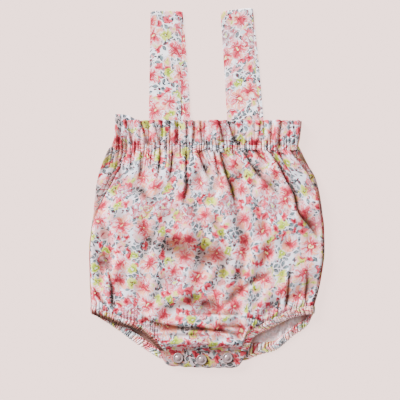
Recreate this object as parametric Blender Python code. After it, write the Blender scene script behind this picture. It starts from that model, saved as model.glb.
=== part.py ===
"""Baby bubble romper with two shoulder straps, laid flat on its back.

The body is a tube of thin cloth lying on a level surface: a back sheet flat underneath, a puffed
front sheet above it, and a soft roll at each side. The side seams have rolled to the front, so the
back panel wraps round both sides. Above the waist elastic the tube ends in a ruffled header, and
each leg opening ends in a gathered elastic band. The two straps leave the garment between the
front and back headers and double over at the shoulder, front half above back half. The crotch is
closed by a placket with three snaps.

Lengths are in millimetres and go to metres where a mesh is made. X runs across the garment, Y
towards the straps and Z up from the surface. The tables measure from a point near the middle of the
body; CENTRE moves the finished solids so that the origin lies under the middle of their outline.
"""

import math
from typing import NamedTuple

import bmesh
import bpy
import numpy as np

MM = 0.001
STEP = 0.0005           # for slopes
CENTRE = np.array((-0.750, -0.617, 0.0))

# Cloth walls and the gap left at a seam
WALL = 1.2
BAND_WALL = 2.0
PLACKET_WALL = 1.6
SEAM = 0.3
SIDE_SEAM = 0.5
HEM_SEAM = 0.6
NECK_SEAM = 0.6         # where the outline narrows sharply under the header

# Seams round the tube, by their height up the garment
HEADER_TOP = 79.8
HEADER_FOOT = 50.0
WAIST = 44.0
HEM_SIDE = -144.0
LEG_SIDE = -151.5
BAND_WIDTH = 7.5

# Shares of the hem: left leg, crotch, right leg
TAB_START = 0.36
TAB_END = 0.66


class Station(NamedTuple):
    """Outline of the tube at one height, the radius of its side roll and the side seams' places."""

    y: float
    left: float
    right: float
    rim: float
    seam_left: float
    seam_right: float


STATIONS = (
    Station(y=-151.5, left=-139.4, right=127.8, rim=4.2, seam_left=3.5, seam_right=4.5),
    Station(y=-144.0, left=-139.6, right=128.0, rim=4.2, seam_left=3.5, seam_right=4.5),
    Station(y=-128.0, left=-140.2, right=131.8, rim=4.3, seam_left=3.5, seam_right=4.8),
    Station(y=-112.0, left=-140.8, right=135.4, rim=4.5, seam_left=3.5, seam_right=5.0),
    Station(y=-76.0, left=-141.5, right=140.0, rim=4.6, seam_left=3.5, seam_right=5.0),
    Station(y=-47.0, left=-138.7, right=139.4, rim=4.6, seam_left=3.8, seam_right=5.0),
    Station(y=-32.0, left=-136.4, right=137.6, rim=4.6, seam_left=6.0, seam_right=5.0),
    Station(y=-11.0, left=-134.7, right=134.6, rim=4.5, seam_left=14.0, seam_right=6.0),
    Station(y=11.0, left=-131.2, right=129.0, rim=4.0, seam_left=22.0, seam_right=8.5),
    Station(y=25.0, left=-127.2, right=121.0, rim=3.7, seam_left=25.0, seam_right=11.0),
    Station(y=44.0, left=-119.2, right=111.6, rim=3.6, seam_left=26.0, seam_right=8.0),
    Station(y=50.0, left=-114.8, right=109.0, rim=3.6, seam_left=22.0, seam_right=4.5),
    Station(y=58.0, left=-111.6, right=110.4, rim=3.6, seam_left=18.0, seam_right=3.8),
    Station(y=80.0, left=-110.4, right=112.8, rim=3.6, seam_left=15.0, seam_right=3.5),
)


class Leg(NamedTuple):
    """Edge of one half of a leg opening, from the side seam to the snap tab.

    The band's inner seam lies one band width from the edge, in a direction that turns from
    side_angle at the side seam to tab_angle at the tab.
    """

    points: tuple
    side_angle: float
    tab_angle: float


FRONT_LEFT = Leg(
    points=((-139.4, -151.5), (-105.0, -165.6), (-82.0, -172.8), (-63.0, -189.0), (-57.0, -196.0)),
    side_angle=95.0, tab_angle=0.0,
)
FRONT_RIGHT = Leg(
    points=((127.8, -151.5), (109.8, -153.8), (72.6, -170.4), (55.0, -179.5), (47.5, -196.5)),
    side_angle=87.0, tab_angle=180.0,
)
BACK_LEFT = Leg(
    points=((-139.4, -151.5), (-111.0, -169.6), (-81.0, -191.4), (-57.0, -206.4)),
    side_angle=95.0, tab_angle=0.0,
)
BACK_RIGHT = Leg(
    points=((127.8, -151.5), (119.8, -166.6), (101.0, -180.4), (84, -195), (60.0, -202.6), (47.0, -208.6)),
    side_angle=87.0, tab_angle=180.0,
)


class Fold(NamedTuple):
    """One pleat, fold or roll of the front: a trough where rise is below zero, else a ridge.

    It runs from (x0, y0) to (x1, y1) with its middle bowed sideways. It fades in over the length
    that head gives, and out over the last part of its run.
    """

    x0: float
    y0: float
    x1: float
    y1: float
    bow: float
    rise: float
    width: float
    head: float


BODY_FOLDS = (
    # pleats out of the waist casing, left to right
    Fold(-100.0, 43, -104.0, 5, 0, -1.6, 5.0, 10),
    Fold(-82.0, 43, -84.0, 6, 0, -2.6, 5.0, 10),
    Fold(-62.0, 43, -66.0, 0, 0, -2.8, 5.0, 10),
    Fold(-45.0, 43, -47.5, -6, 0, -4.0, 4.5, 10),
    Fold(-28.7, 43, -33.0, -36, 0, -4.6, 4.8, 10),
    Fold(-13.2, 43, 8.5, -2, 2, -4.0, 4.5, 10),
    Fold(5.0, 43, 15.0, -17, 0, -3.8, 4.4, 10),
    Fold(18.0, 43, 38.0, -24, 0, -4.4, 4.8, 10),
    Fold(39.6, 43, 91.0, -46, 0, -5.4, 5.5, 10),
    Fold(55.8, 43, 73.0, 14, 0, -3.8, 4.5, 10),
    Fold(72.6, 43, 134.0, -78, 6, -5.4, 5.5, 10),
    Fold(85.0, 43, 104.0, 8, 0, -3.6, 4.5, 10),
    Fold(96.5, 43, 128.0, 0, 0, -4.0, 4.5, 10),
    # gathers that run up from the legs
    Fold(-115.4, -146, -124.0, -78, 3, -3.2, 5.0, 12),
    Fold(-123.0, -146, -138.0, -114, 0, -2.4, 4.5, 12),
    Fold(93.0, -146, 101.4, -74, -3, -2.8, 5.0, 12),
    Fold(115.8, -146, 118.0, -88, 0, -2.4, 4.5, 12),
    # folds across the belly, and the roll that hangs over the snap tab
    Fold(78.0, -103, -14.0, -156, 3, -3.4, 6.5, 50),
    Fold(-44.0, -142, 24.0, -151, 0, -2.0, 6.0, 50),
    Fold(-28.0, -155, 60.0, -155, 0, 2.4, 6.0, 50),
    Fold(-80.0, -151, 46.0, -170, 9, -4.4, 5.5, 40),
    Fold(-62.0, -173, 52.0, -188, -9, -2.6, 5.0, 50),
)

HEADER_FOLDS = (
    Fold(-91.0, 50, -98.0, 92, 0, -2.6, 4.0, 4),
    Fold(-72.0, 50, -84.0, 92, 0, -3.0, 4.4, 4),
    Fold(-57.0, 50, -64.0, 92, 0, -2.6, 4.0, 4),
    Fold(-41.0, 50, -43.0, 92, 0, -1.8, 3.8, 4),
    Fold(-22.0, 50, -22.5, 92, 0, -2.8, 4.2, 4),
    Fold(0.0, 50, -2.0, 92, 0, -1.8, 4.0, 4),
    Fold(17.0, 50, 13.5, 92, 0, -3.0, 4.2, 4),
    Fold(35.0, 50, 24.0, 92, 0, -3.0, 4.4, 4),
    Fold(61.0, 50, 62.0, 92, 0, -2.8, 4.4, 4),
    Fold(84.0, 50, 85.5, 92, 0, -2.8, 4.4, 4),
    Fold(98.0, 50, 101.0, 92, 0, -2.2, 4.0, 4),
)
FADE_OUT = 0.55         # share of a fold's run
HEADER_FLARE = 2.4
RIPPLE = 0.7
RIPPLE_PITCHES = (23.0, 37.0)


class Swell(NamedTuple):
    """Height that the front stands above its side rolls, by the share of the way down to the hem."""

    down: float
    height: float


SWELLS = (
    Swell(down=0.00, height=0.0),
    Swell(down=0.06, height=4.8),
    Swell(down=0.16, height=6.4),
    Swell(down=0.42, height=8.0),
    Swell(down=0.82, height=8.0),
    Swell(down=0.92, height=6.8),
)
PUFF_POWER = 0.6        # how squarely the puff fills out towards the sides
HEM_TUCK = 0.08         # share of the way down over which the front drops to its hem
CASING_TUCK = 0.1       # share of the way down over which the casing's small gathers fade
TAB_EDGE = 0.04         # share of the width over which the hem drops to the snap tab
GATHER = 0.35
GATHER_PITCHES = (18.0, 27.0)
SEAM_CALM = 8.0         # folds die away this near a side seam
RUFFLE_RISE = 9.0       # way up the header over which the ruffles open

# How finely the tube is divided: columns for left leg, crotch and right leg, and over the rolls
FRONT_COLUMNS = (15, 11, 14)
BACK_COLUMNS = (5, 2, 5)
UPPER_COLUMNS = (12, 11, 11)
ROLL_REACH = 6.0
ROLL_STEPS = 3
WING_STEPS = 4

# The back header stands higher where its left end has rolled to the front
PEEK_HEIGHT = 8.0
PEEK_REACH = 24.0

# Snap tab: its four corners, its level, and the back placket folded up beneath it
TAB_CORNERS = ((-57.0, -196.3), (47.5, -196.8), (38.0, -216.4), (-50.4, -214.0))
TAB_SAG = 1.2
TAB_LEVEL = 6.4
PLACKET_COLUMNS = 14
FLAP_COLUMNS = 10
FLAP_INSET = 2.5
FLAP_LEVEL = 2.9
FLAP_FOLD_Y = -214.2
FLAP_FALL = 1.6         # how much lower the fold is at its right end
FLAP_TOP_Y = -198.0

# Snaps
SNAP_PLACES = ((-35.2, -204.9), (-7.0, -206.9), (24.0, -204.6))
CAP_RADIUS = 6.2
CAP_HEIGHT = 2.2
CAP_EDGE = 0.7
SOCKET_RADIUS = 4.6


class Strap(NamedTuple):
    """Middle line of one strap's front and back halves: x at the foot and at the shoulder fold.

    bow is how far the back half curves to the right, and slant how steeply the fold rises to the
    right.
    """

    name: str
    front_foot: float
    front_top: float
    back_foot: float
    back_top: float
    bow: float
    top: float
    slant: float


STRAPS = (
    Strap("strap_left", -51.8, -49.3, -38.2, -49.0, bow=1.4, top=211.6, slant=0.0),
    Strap("strap_right", 44.6, 35.0, 50.0, 35.4, bow=1.4, top=213.4, slant=0.12),
)
STRAP_WIDTH = 38.4
STRAP_CORNER = 1.8      # how far the fold's corners are rounded back
STRAP_COLUMNS = (-0.5, -0.41, 0.41, 0.5)
STRAP_FOOT = 51.0
STRAP_FOLD_RADIUS = 1.5
STRAP_LEAVES = 81.5     # height up the garment where the straps come out of the header
STRAP_FOLD_STEPS = 6

# Colours, roughness
CLOTH = ((0.74, 0.52, 0.50, 1.0), 0.85)
CLOTH_BACK = ((0.66, 0.50, 0.49, 1.0), 0.88)
STRAP_CLOTH = ((0.76, 0.60, 0.58, 1.0), 0.85)
BAND_CLOTH = ((0.70, 0.50, 0.46, 1.0), 0.88)
PLASTIC = ((0.62, 0.54, 0.55, 1.0), 0.25)


# ---------------------------------------------------------------- sums

def mix(start, end, share):
    """Value between two others."""
    return start + (end - start) * share


def ease(share):
    """Smooth step from 0 to 1."""
    share = np.clip(share, 0.0, 1.0)
    return share * share * (3.0 - 2.0 * share)


def smooth(place, places, values):
    """Monotone cubic through a table's values, so that it never overshoots them."""
    places = np.asarray(places, float)
    values = np.asarray(values, float)
    step = np.diff(places)
    slope = np.diff(values) / step
    before, after = slope[:-1], slope[1:]
    total = np.where(before * after > 0, before + after, 1.0)
    inner = np.where(before * after > 0, 2.0 * before * after / total, 0.0)
    tangent = np.concatenate(([slope[0]], inner, [slope[-1]]))
    place = np.clip(place, places[0], places[-1])
    span = np.clip(np.searchsorted(places, place, side="right") - 1, 0, len(step) - 1)
    share = (place - places[span]) / step[span]
    rise = values[span + 1] - values[span]
    start_pull = tangent[span] * step[span] - rise
    end_pull = rise - tangent[span + 1] * step[span]
    bend = share * (1.0 - share) * (start_pull * (1.0 - share) + end_pull * share)
    return values[span] + rise * share + bend


def column(table, name):
    """One named column of a table."""
    return [getattr(row, name) for row in table]


def station(name, y):
    """A column of the stations table at any height."""
    return smooth(y, column(STATIONS, "y"), column(STATIONS, name))


# ---------------------------------------------------------------- the tube of cloth

def roll(distance, rim):
    """Plan offset and lift of cloth that rolls up from the outermost line of the side."""
    quarter = rim * math.pi / 2.0
    angle = np.minimum(distance, quarter) / rim
    return rim * (1.0 - np.cos(angle)) + np.maximum(distance - quarter, 0.0), rim * np.sin(angle)


def cloth_length(width, rim):
    """Length of one sheet from side to side, measured along the cloth."""
    return width + (math.pi - 2.0) * rim


def section(distance, width, rim):
    """Share of the width, and lift, at a distance along the cloth from the left side."""
    left_offset, left_lift = roll(np.maximum(distance, 0.0), rim)
    right_offset, right_lift = roll(np.maximum(cloth_length(width, rim) - distance, 0.0), rim)
    nearer_left = left_offset < right_offset
    across = np.where(nearer_left, left_offset / width, 1.0 - right_offset / width)
    return across, np.where(nearer_left, left_lift, right_lift)


def leg_edge(leg, share):
    """Point of a leg opening's edge, from the side seam (0) to the tab (1)."""
    x, y = np.array(leg.points).T
    travelled = np.concatenate(([0.0], np.cumsum(np.hypot(np.diff(x), np.diff(y)))))
    place = share * travelled[-1]
    return smooth(place, travelled, x), smooth(place, travelled, y)


def leg_hem(leg, share):
    """Point of the seam between a body panel and its leg band."""
    x, y = leg_edge(leg, share)
    angle = np.radians(mix(leg.side_angle, leg.tab_angle, share ** 1.5))
    return x + BAND_WIDTH * np.cos(angle), y + BAND_WIDTH * np.sin(angle)


def hem(legs, across, leg_curve):
    """Lower edge of a sheet: left leg, straight crotch, right leg."""
    left = leg_curve(legs[0], np.clip(across / TAB_START, 0.0, 1.0))
    right = leg_curve(legs[1], np.clip((1.0 - across) / (1.0 - TAB_END), 0.0, 1.0))
    tab = np.clip((across - TAB_START) / (TAB_END - TAB_START), 0.0, 1.0)
    share = np.where(across >= TAB_END, 1.0, tab)
    return mix(left[0], right[0], share), mix(left[1], right[1], share)


def body_plan(legs, across, down):
    """Plan place on a body sheet (down 0 to 1), or on its leg bands (down 1 to 2)."""
    hem_x, hem_y = hem(legs, across, leg_hem)
    if down > 1.0:
        edge_x, edge_y = hem(legs, across, leg_edge)
        return mix(hem_x, edge_x, down - 1.0), mix(hem_y, edge_y, down - 1.0)
    y = side_height(down)
    hem_left, hem_right = hem(legs, np.array([0.0, 1.0]), leg_hem)[0]
    left = station("left", y) - mix(station("left", WAIST), hem_left, down)
    right = station("right", y) - mix(station("right", WAIST), hem_right, down)
    waist_x = mix(station("left", WAIST), station("right", WAIST), across)
    x = mix(waist_x, hem_x, down) + (1.0 - across) * left + across * right
    return x, mix(WAIST, hem_y, down)


def side_height(down):
    """Height up the garment of the side roll, by the way down the body and its bands."""
    if down > 1.0:
        return mix(HEM_SIDE, LEG_SIDE, down - 1.0)
    return mix(WAIST, HEM_SIDE, down)


def fold_relief(folds, x, y):
    """Height that a table of folds adds at plan points."""
    total = np.zeros_like(x)
    for fold in folds:
        run_x, run_y = fold.x1 - fold.x0, fold.y1 - fold.y0
        length = math.hypot(run_x, run_y)
        share = ((x - fold.x0) * run_x + (y - fold.y0) * run_y) / length ** 2
        aside = ((x - fold.x0) * run_y - (y - fold.y0) * run_x) / length
        aside = aside - 4.0 * fold.bow * share * (1.0 - share)
        fade = ease(share * length / fold.head) * ease((1.0 - share) / FADE_OUT)
        total += fold.rise * fade * np.exp(-(aside / fold.width) ** 2)
    return total


def waves_along(x, height, pitches):
    """Small uneven waves across the garment, as a sum of two pitches."""
    return sum(height * np.sin(2.0 * math.pi * x / pitch) for pitch in pitches)


def body_top(distance, down):
    """Middle surface of the front sheet and its bands, at distances along the cloth."""
    y = side_height(down)
    width, rim = tube_size(y)
    across, lift = section(distance, width, rim)
    plan_x, plan_y = body_plan((FRONT_LEFT, FRONT_RIGHT), across, down)
    settled = ease((1.0 - down) / HEM_TUCK)
    swell = smooth(down, column(SWELLS, "down"), column(SWELLS, "height"))
    puff = swell * settled * (4.0 * across * (1.0 - across)) ** PUFF_POWER
    tab = ease((across - TAB_START) / TAB_EDGE + 1.0) * ease((TAB_END - across) / TAB_EDGE + 1.0)
    drop = tab * (1.0 - settled) * (WALL / 2.0 + 2.0 * rim - TAB_LEVEL)
    waist_waves = waves_along(plan_x, GATHER, GATHER_PITCHES) * ease(1.0 - down / CASING_TUCK)
    from_seam = np.minimum(distance - station("seam_left", y),
                           cloth_length(width, rim) - station("seam_right", y) - distance)
    folds = fold_relief(BODY_FOLDS, plan_x, plan_y) * settled * ease(from_seam / SEAM_CALM)
    height = WALL / 2.0 + rim + lift + (lift / rim) ** 2 * (puff + folds + waist_waves - drop)
    return np.stack((plan_x, plan_y, height), axis=-1)


def body_bottom(distance, down, wall):
    """Middle surface of the back sheet and its bands, lying on the surface between the rolls."""
    width, rim = tube_size(side_height(down))
    across, lift = section(distance, width, rim)
    plan_x, plan_y = body_plan((BACK_LEFT, BACK_RIGHT), across, down)
    height = mix(WALL / 2.0 + rim, wall / 2.0, lift / rim)
    return np.stack((plan_x, plan_y, height), axis=-1)


def upper_top(distance, y):
    """Middle surface of the front casing and the front header."""
    width, rim = tube_size(y)
    across, lift = section(distance, width, rim)
    x = station("left", y) + across * width
    waves = waves_along(x, GATHER, GATHER_PITCHES) * ease((HEADER_TOP - y) / (HEADER_TOP - HEADER_FOOT))
    ruffles = HEADER_FLARE + fold_relief(HEADER_FOLDS, x, np.full_like(x, y))
    ruffles = ruffles * ease((y - HEADER_FOOT) / RUFFLE_RISE)
    on_top = (lift / rim) ** 2
    height = WALL / 2.0 + rim + lift + on_top * (waves + ruffles)
    raised = (y - HEADER_FOOT) / (HEADER_TOP - HEADER_FOOT)
    ripple = on_top * ease(raised) * waves_along(x, RIPPLE, RIPPLE_PITCHES)
    return np.stack((x, y + ripple, height), axis=-1)


def upper_bottom(distance, y):
    """Middle surface of the back casing and the back header."""
    width, rim = tube_size(y)
    across, lift = section(distance, width, rim)
    x = station("left", y) + across * width
    return np.stack((x, np.full_like(x, y), WALL / 2.0 + rim - lift), axis=-1)


def tube_size(y):
    """Width of the tube and radius of its side rolls at one height."""
    return station("right", y) - station("left", y), station("rim", y)


def whole_round(top, bottom, length, place):
    """Point of the tube at a signed distance round it from its left side line.

    Places run under the garment from 0 to length and over it from 0 to -length; a place beyond
    length has come up round the right side.
    """
    over = np.where(place < 0.0, -place, 2.0 * length - place)
    under = (place >= 0.0) & (place <= length)
    upper = top(np.where(under, 0.0, over))
    lower = bottom(np.clip(place, 0.0, length))
    return np.where(under[..., None], lower, upper)


def body_skin(place, down, wall=WALL):
    """Middle surface of the body and its leg bands, all round."""
    length = cloth_length(*tube_size(side_height(down)))
    return whole_round(lambda at: body_top(at, down), lambda at: body_bottom(at, down, wall), length, place)


def band_skin(place, down):
    """The same surface for the thicker leg bands."""
    return body_skin(place, down, BAND_WALL)


def upper_skin(place, y):
    """Middle surface of the casing and header, all round."""
    length = cloth_length(*tube_size(y))
    return whole_round(lambda at: upper_top(at, y), lambda at: upper_bottom(at, y), length, place)


def header_back_skin(place, y):
    """The back header, whose left end has been pulled up as it rolled to the front."""
    points = upper_skin(place, y)
    raised = (y - HEADER_FOOT) / (HEADER_TOP - HEADER_FOOT)
    wing = ease(1.0 + np.minimum(place, 0.0) / (station("seam_left", y) - SIDE_SEAM))
    under = np.exp(-(np.maximum(place, 0.0) / PEEK_REACH) ** 4)
    points[..., 1] += PEEK_HEIGHT * raised * np.where(place < 0.0, wing, under)
    return points


# ---------------------------------------------------------------- where rows of points stand

def interior_places(start, end, width, rim, counts):
    """Distances from start to end with a column on each corner of the snap tab."""
    overrun = rim * (math.pi / 2.0 - 1.0)
    tab_start, tab_end = TAB_START * width + overrun, TAB_END * width + overrun
    left, tab, right = counts
    return np.concatenate((
        np.linspace(start, tab_start, left + 1),
        np.linspace(tab_start, tab_end, tab + 1)[1:],
        np.linspace(tab_end, end, right + 1)[1:],
    ))


def front_places(y, counts=FRONT_COLUMNS):
    """Places of a front row from left seam to right seam, closer together over the side rolls."""
    width, rim = tube_size(y)
    start = station("seam_left", y)
    end = cloth_length(width, rim) - station("seam_right", y)
    return -np.concatenate((
        np.linspace(start, start + ROLL_REACH, ROLL_STEPS + 1)[:-1],
        interior_places(start + ROLL_REACH, end - ROLL_REACH, width, rim, counts),
        np.linspace(end - ROLL_REACH, end, ROLL_STEPS + 1)[1:],
    ))


def back_places(y, counts=BACK_COLUMNS):
    """Places of a back row: left wing, flat underside, right wing."""
    width, rim = tube_size(y)
    length = cloth_length(width, rim)
    spread = (np.arange(1, WING_STEPS + 1) / WING_STEPS) ** 1.5
    return np.concatenate((
        -(station("seam_left", y) - SIDE_SEAM) * spread[::-1],
        np.linspace(0.0, ROLL_REACH, ROLL_STEPS + 1)[:-1],
        interior_places(ROLL_REACH, length - ROLL_REACH, width, rim, counts),
        np.linspace(length - ROLL_REACH, length, ROLL_STEPS + 1)[1:],
        length + (station("seam_right", y) - SIDE_SEAM) * spread,
    ))


# ---------------------------------------------------------------- meshes

def new_object(name, mesh, material):
    """Object with its mesh and material in the scene."""
    part = bpy.data.objects.new(name, mesh)
    mesh.materials.append(material)
    bpy.context.scene.collection.objects.link(part)
    return part


def make_material(name, finish):
    """Principled material from a colour and a roughness."""
    colour, roughness = finish
    material = bpy.data.materials.new(name)
    material.use_nodes = True
    shader = material.node_tree.nodes["Principled BSDF"]
    shader.inputs["Base Color"].default_value = colour
    shader.inputs["Roughness"].default_value = roughness
    shader.inputs["Metallic"].default_value = 0.0
    material.diffuse_color = colour
    return material


def unit(vectors):
    """Vectors scaled to length one."""
    return vectors / np.linalg.norm(vectors, axis=-1, keepdims=True)


def closed_wall(name, points, normals, material, wall):
    """Closed solid of even thickness on a grid of middle-surface points, a row at a time."""
    count, across = points.shape[:2]
    offset = normals * wall / 2.0
    corners = np.concatenate(((points + offset).reshape(-1, 3), (points - offset).reshape(-1, 3)))
    inner = count * across
    quads = []
    for row in range(count - 1):
        for place in range(across - 1):
            near, far = row * across + place, (row + 1) * across + place
            quads.append((near, far, far + 1, near + 1))
            quads.append((inner + near, inner + near + 1, inner + far + 1, inner + far))
    edge = list(range(across))
    edge += [row * across + across - 1 for row in range(1, count)]
    edge += [(count - 1) * across + place for place in range(across - 2, -1, -1)]
    edge += [row * across for row in range(count - 2, 0, -1)]
    for start, end in zip(edge, edge[1:] + edge[:1]):
        quads.append((start, end, inner + end, inner + start))
    mesh = bpy.data.meshes.new(name)
    mesh.from_pydata(((corners - CENTRE) * MM).tolist(), [], quads)
    bm = bmesh.new()
    bm.from_mesh(mesh)
    bmesh.ops.recalc_face_normals(bm, faces=bm.faces)
    bm.to_mesh(mesh)
    bm.free()
    mesh.shade_smooth()
    mesh.set_sharp_from_angle(angle=math.radians(50))
    return new_object(name, mesh, material)


def tube_piece(name, skin, rows, material, wall=WALL):
    """Piece of the tube: rows of (places, station), each point pushed out along the true normal."""
    points, normals = [], []
    for places, at in rows:
        step = STEP * max(abs(at), 1.0)
        along = skin(places + STEP, at) - skin(places - STEP, at)
        down = skin(places, at + step) - skin(places, at - step)
        points.append(skin(places, at))
        normals.append(unit(np.cross(along, down)))
    return closed_wall(name, np.array(points), np.array(normals), material, wall)


def strip(name, rows, material, wall=WALL):
    """Flat or folded strip from rows of middle-surface points."""
    points = np.array(rows)
    normals = unit(np.cross(np.gradient(points, axis=1), np.gradient(points, axis=0)))
    return closed_wall(name, points, normals, material, wall)


def turned(name, profile, centre, material, sides=28):
    """Closed round solid from a profile of (radius, height), its first and last points on the axis."""
    bm = bmesh.new()
    x, y = centre[0] - CENTRE[0], centre[1] - CENTRE[1]
    rings = []
    for radius, height in profile:
        if radius == 0.0:
            rings.append([bm.verts.new((x * MM, y * MM, height * MM))])
            continue
        angles = [2.0 * math.pi * side / sides for side in range(sides)]
        rings.append([
            bm.verts.new(((x + radius * math.cos(a)) * MM, (y + radius * math.sin(a)) * MM, height * MM))
            for a in angles
        ])
    for lower, upper in zip(rings, rings[1:]):
        for side in range(sides):
            after = (side + 1) % sides
            loop = [lower[side % len(lower)], lower[after % len(lower)]]
            loop += [upper[after % len(upper)], upper[side % len(upper)]]
            bm.faces.new(list(dict.fromkeys(loop)))
    bmesh.ops.recalc_face_normals(bm, faces=bm.faces)
    mesh = bpy.data.meshes.new(name)
    bm.to_mesh(mesh)
    bm.free()
    mesh.shade_smooth()
    mesh.set_sharp_from_angle(angle=math.radians(40))
    return new_object(name, mesh, material)


# ---------------------------------------------------------------- pieces

def body_rows():
    """Ways down the body for the rows of a panel, closer together over the lower folds."""
    gap = SEAM / 2.0 / (WAIST - HEM_SIDE)
    return np.concatenate((np.linspace(gap, 0.7, 12), np.linspace(0.7, 1.0 - gap, 12)[1:]))


def build_front_panel(material):
    """Front body panel: puffed, pleated at the waist and folded over the snap tab."""
    rows = [(front_places(side_height(down)), down) for down in body_rows()]
    return tube_piece("front_panel", body_skin, rows, material)


def build_back_panel(material):
    """Back body panel: flat on the surface, rolled up round both sides to the front."""
    chosen = np.concatenate((body_rows()[:10], body_rows()[10::3]))
    rows = [(back_places(side_height(down)), down) for down in chosen]
    return tube_piece("back_panel", body_skin, rows, material)


def build_header(material, back_material):
    """Ruffled header above the waist elastic, in a front half and a back half."""
    heights = np.linspace(HEADER_FOOT + NECK_SEAM / 2.0, HEADER_TOP, 4)
    tube_piece("front_header", upper_skin, [(front_places(y, UPPER_COLUMNS), y) for y in heights], material)
    tube_piece("back_header", header_back_skin, [(back_places(y), y) for y in heights], back_material)


def build_casing(material):
    """Waist casing with its elastic, in a front half and a back half."""
    heights = np.linspace(WAIST + SEAM / 2.0, HEADER_FOOT - NECK_SEAM / 2.0, 3)
    tube_piece("front_casing", upper_skin, [(front_places(y, UPPER_COLUMNS), y) for y in heights], material)
    tube_piece("back_casing", upper_skin, [(back_places(y), y) for y in heights], material)


def build_leg_bands(material):
    """Gathered elastic bands: a front half and a back half round each leg opening."""
    front_left = ROLL_STEPS + FRONT_COLUMNS[0] + 1
    front_right = front_left + FRONT_COLUMNS[1] - 1
    back_left = WING_STEPS + ROLL_STEPS + BACK_COLUMNS[0] + 1
    back_right = back_left + BACK_COLUMNS[1] - 1
    for name, places, part in (
        ("leg_band_front_left", front_places, slice(None, front_left)),
        ("leg_band_front_right", front_places, slice(front_right, None)),
        ("leg_band_back_left", back_places, slice(None, back_left)),
        ("leg_band_back_right", back_places, slice(back_right, None)),
    ):
        rows = [(places(side_height(down))[part], down) for down in (1.0 + HEM_SEAM / BAND_WIDTH, 1.5, 2.0)]
        tube_piece(name, band_skin, rows, material, BAND_WALL)


def build_front_placket(material):
    """Snap tab: a flat double strip below the front panel's roll."""
    top_left, top_right, foot_right, foot_left = (np.array(corner) for corner in TAB_CORNERS)
    rows = []
    for share in np.linspace(0.0, 1.0, 4):
        start, end = mix(top_left, foot_left, share), mix(top_right, foot_right, share)
        across = np.linspace(0.0, 1.0, PLACKET_COLUMNS + 1)
        plan = mix(start, end, across[:, None])
        plan[:, 1] -= share * TAB_SAG * np.sin(math.pi * across)
        rows.append(np.column_stack((plan, np.full(len(across), TAB_LEVEL))))
    return strip("front_placket", rows, material, PLACKET_WALL)


def build_back_placket(material):
    """Back placket: the back panel's end, folded up and over to lie under the snap tab."""
    fold_radius = (FLAP_LEVEL - WALL / 2.0) / 2.0
    fold_middle = WALL / 2.0 + fold_radius
    across = np.linspace(0.0, 1.0, FLAP_COLUMNS + 1)
    (left, _), (right, _), (foot_right, _), (foot_left, _) = TAB_CORNERS
    level = np.ones_like(across)
    hem_x, hem_y = hem((BACK_LEFT, BACK_RIGHT), mix(TAB_START, TAB_END, across), leg_hem)
    fold_x = mix(foot_left + FLAP_INSET, foot_right - FLAP_INSET, across)
    top_x = mix(left + FLAP_INSET, right - FLAP_INSET, across)
    fold_y = FLAP_FOLD_Y + fold_radius + WALL / 2.0 - across * FLAP_FALL
    rows = [np.column_stack((hem_x, hem_y - SEAM, level * WALL / 2.0))]
    for turn in np.linspace(0.0, math.pi, 6):
        turned_y = fold_y - fold_radius * math.sin(turn)
        turned_z = fold_middle - fold_radius * math.cos(turn)
        rows.append(np.column_stack((fold_x, turned_y, level * turned_z)))
    rows.append(np.column_stack((top_x, level * FLAP_TOP_Y, level * FLAP_LEVEL)))
    return strip("back_placket", rows, material)


def build_snaps(plastic):
    """Three round caps on the tab, and under each the socket pressed onto its stud."""
    base = TAB_LEVEL + PLACKET_WALL / 2.0 + SEAM
    cap = [(0.0, base), (CAP_RADIUS - CAP_EDGE, base), (CAP_RADIUS, base + CAP_EDGE / 2.0)]
    for share in (0.25, 0.5, 0.75):
        cap.append((CAP_RADIUS * math.cos(share * math.pi / 2.0), base + CAP_EDGE / 2.0
                    + (CAP_HEIGHT - CAP_EDGE / 2.0) * math.sin(share * math.pi / 2.0)))
    cap.append((0.0, base + CAP_HEIGHT))
    floor = FLAP_LEVEL + WALL / 2.0 + SEAM
    roof = TAB_LEVEL - PLACKET_WALL / 2.0 - SEAM
    socket = [(0.0, floor), (SOCKET_RADIUS, floor), (SOCKET_RADIUS, roof), (0.0, roof)]
    for number, place in enumerate(SNAP_PLACES, start=1):
        turned(f"snap_cap_{number}", cap, place, plastic)
        turned(f"snap_socket_{number}", socket, place, plastic, sides=20)


def strap_half(strap, levels, front):
    """Rows of one half of a strap, from its foot to just short of the shoulder fold."""
    foot, top = (strap.front_foot, strap.front_top) if front else (strap.back_foot, strap.back_top)
    bow = 0.0 if front else strap.bow
    across = np.array(STRAP_COLUMNS)
    rows = []
    for y, level in levels:
        share = (y - STRAP_FOOT) / (strap.top - STRAP_FOOT)
        x = mix(foot, top, share) + across * STRAP_WIDTH + 4.0 * bow * share * (1.0 - share)
        near_fold = ease((share - 0.6) / 0.4)
        rounded = STRAP_CORNER * (2.0 * np.abs(across)) ** 8
        shift = near_fold * (strap.slant * across * STRAP_WIDTH - rounded)
        rows.append(np.column_stack((x, y + shift, np.full(len(across), level))))
    return rows


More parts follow.
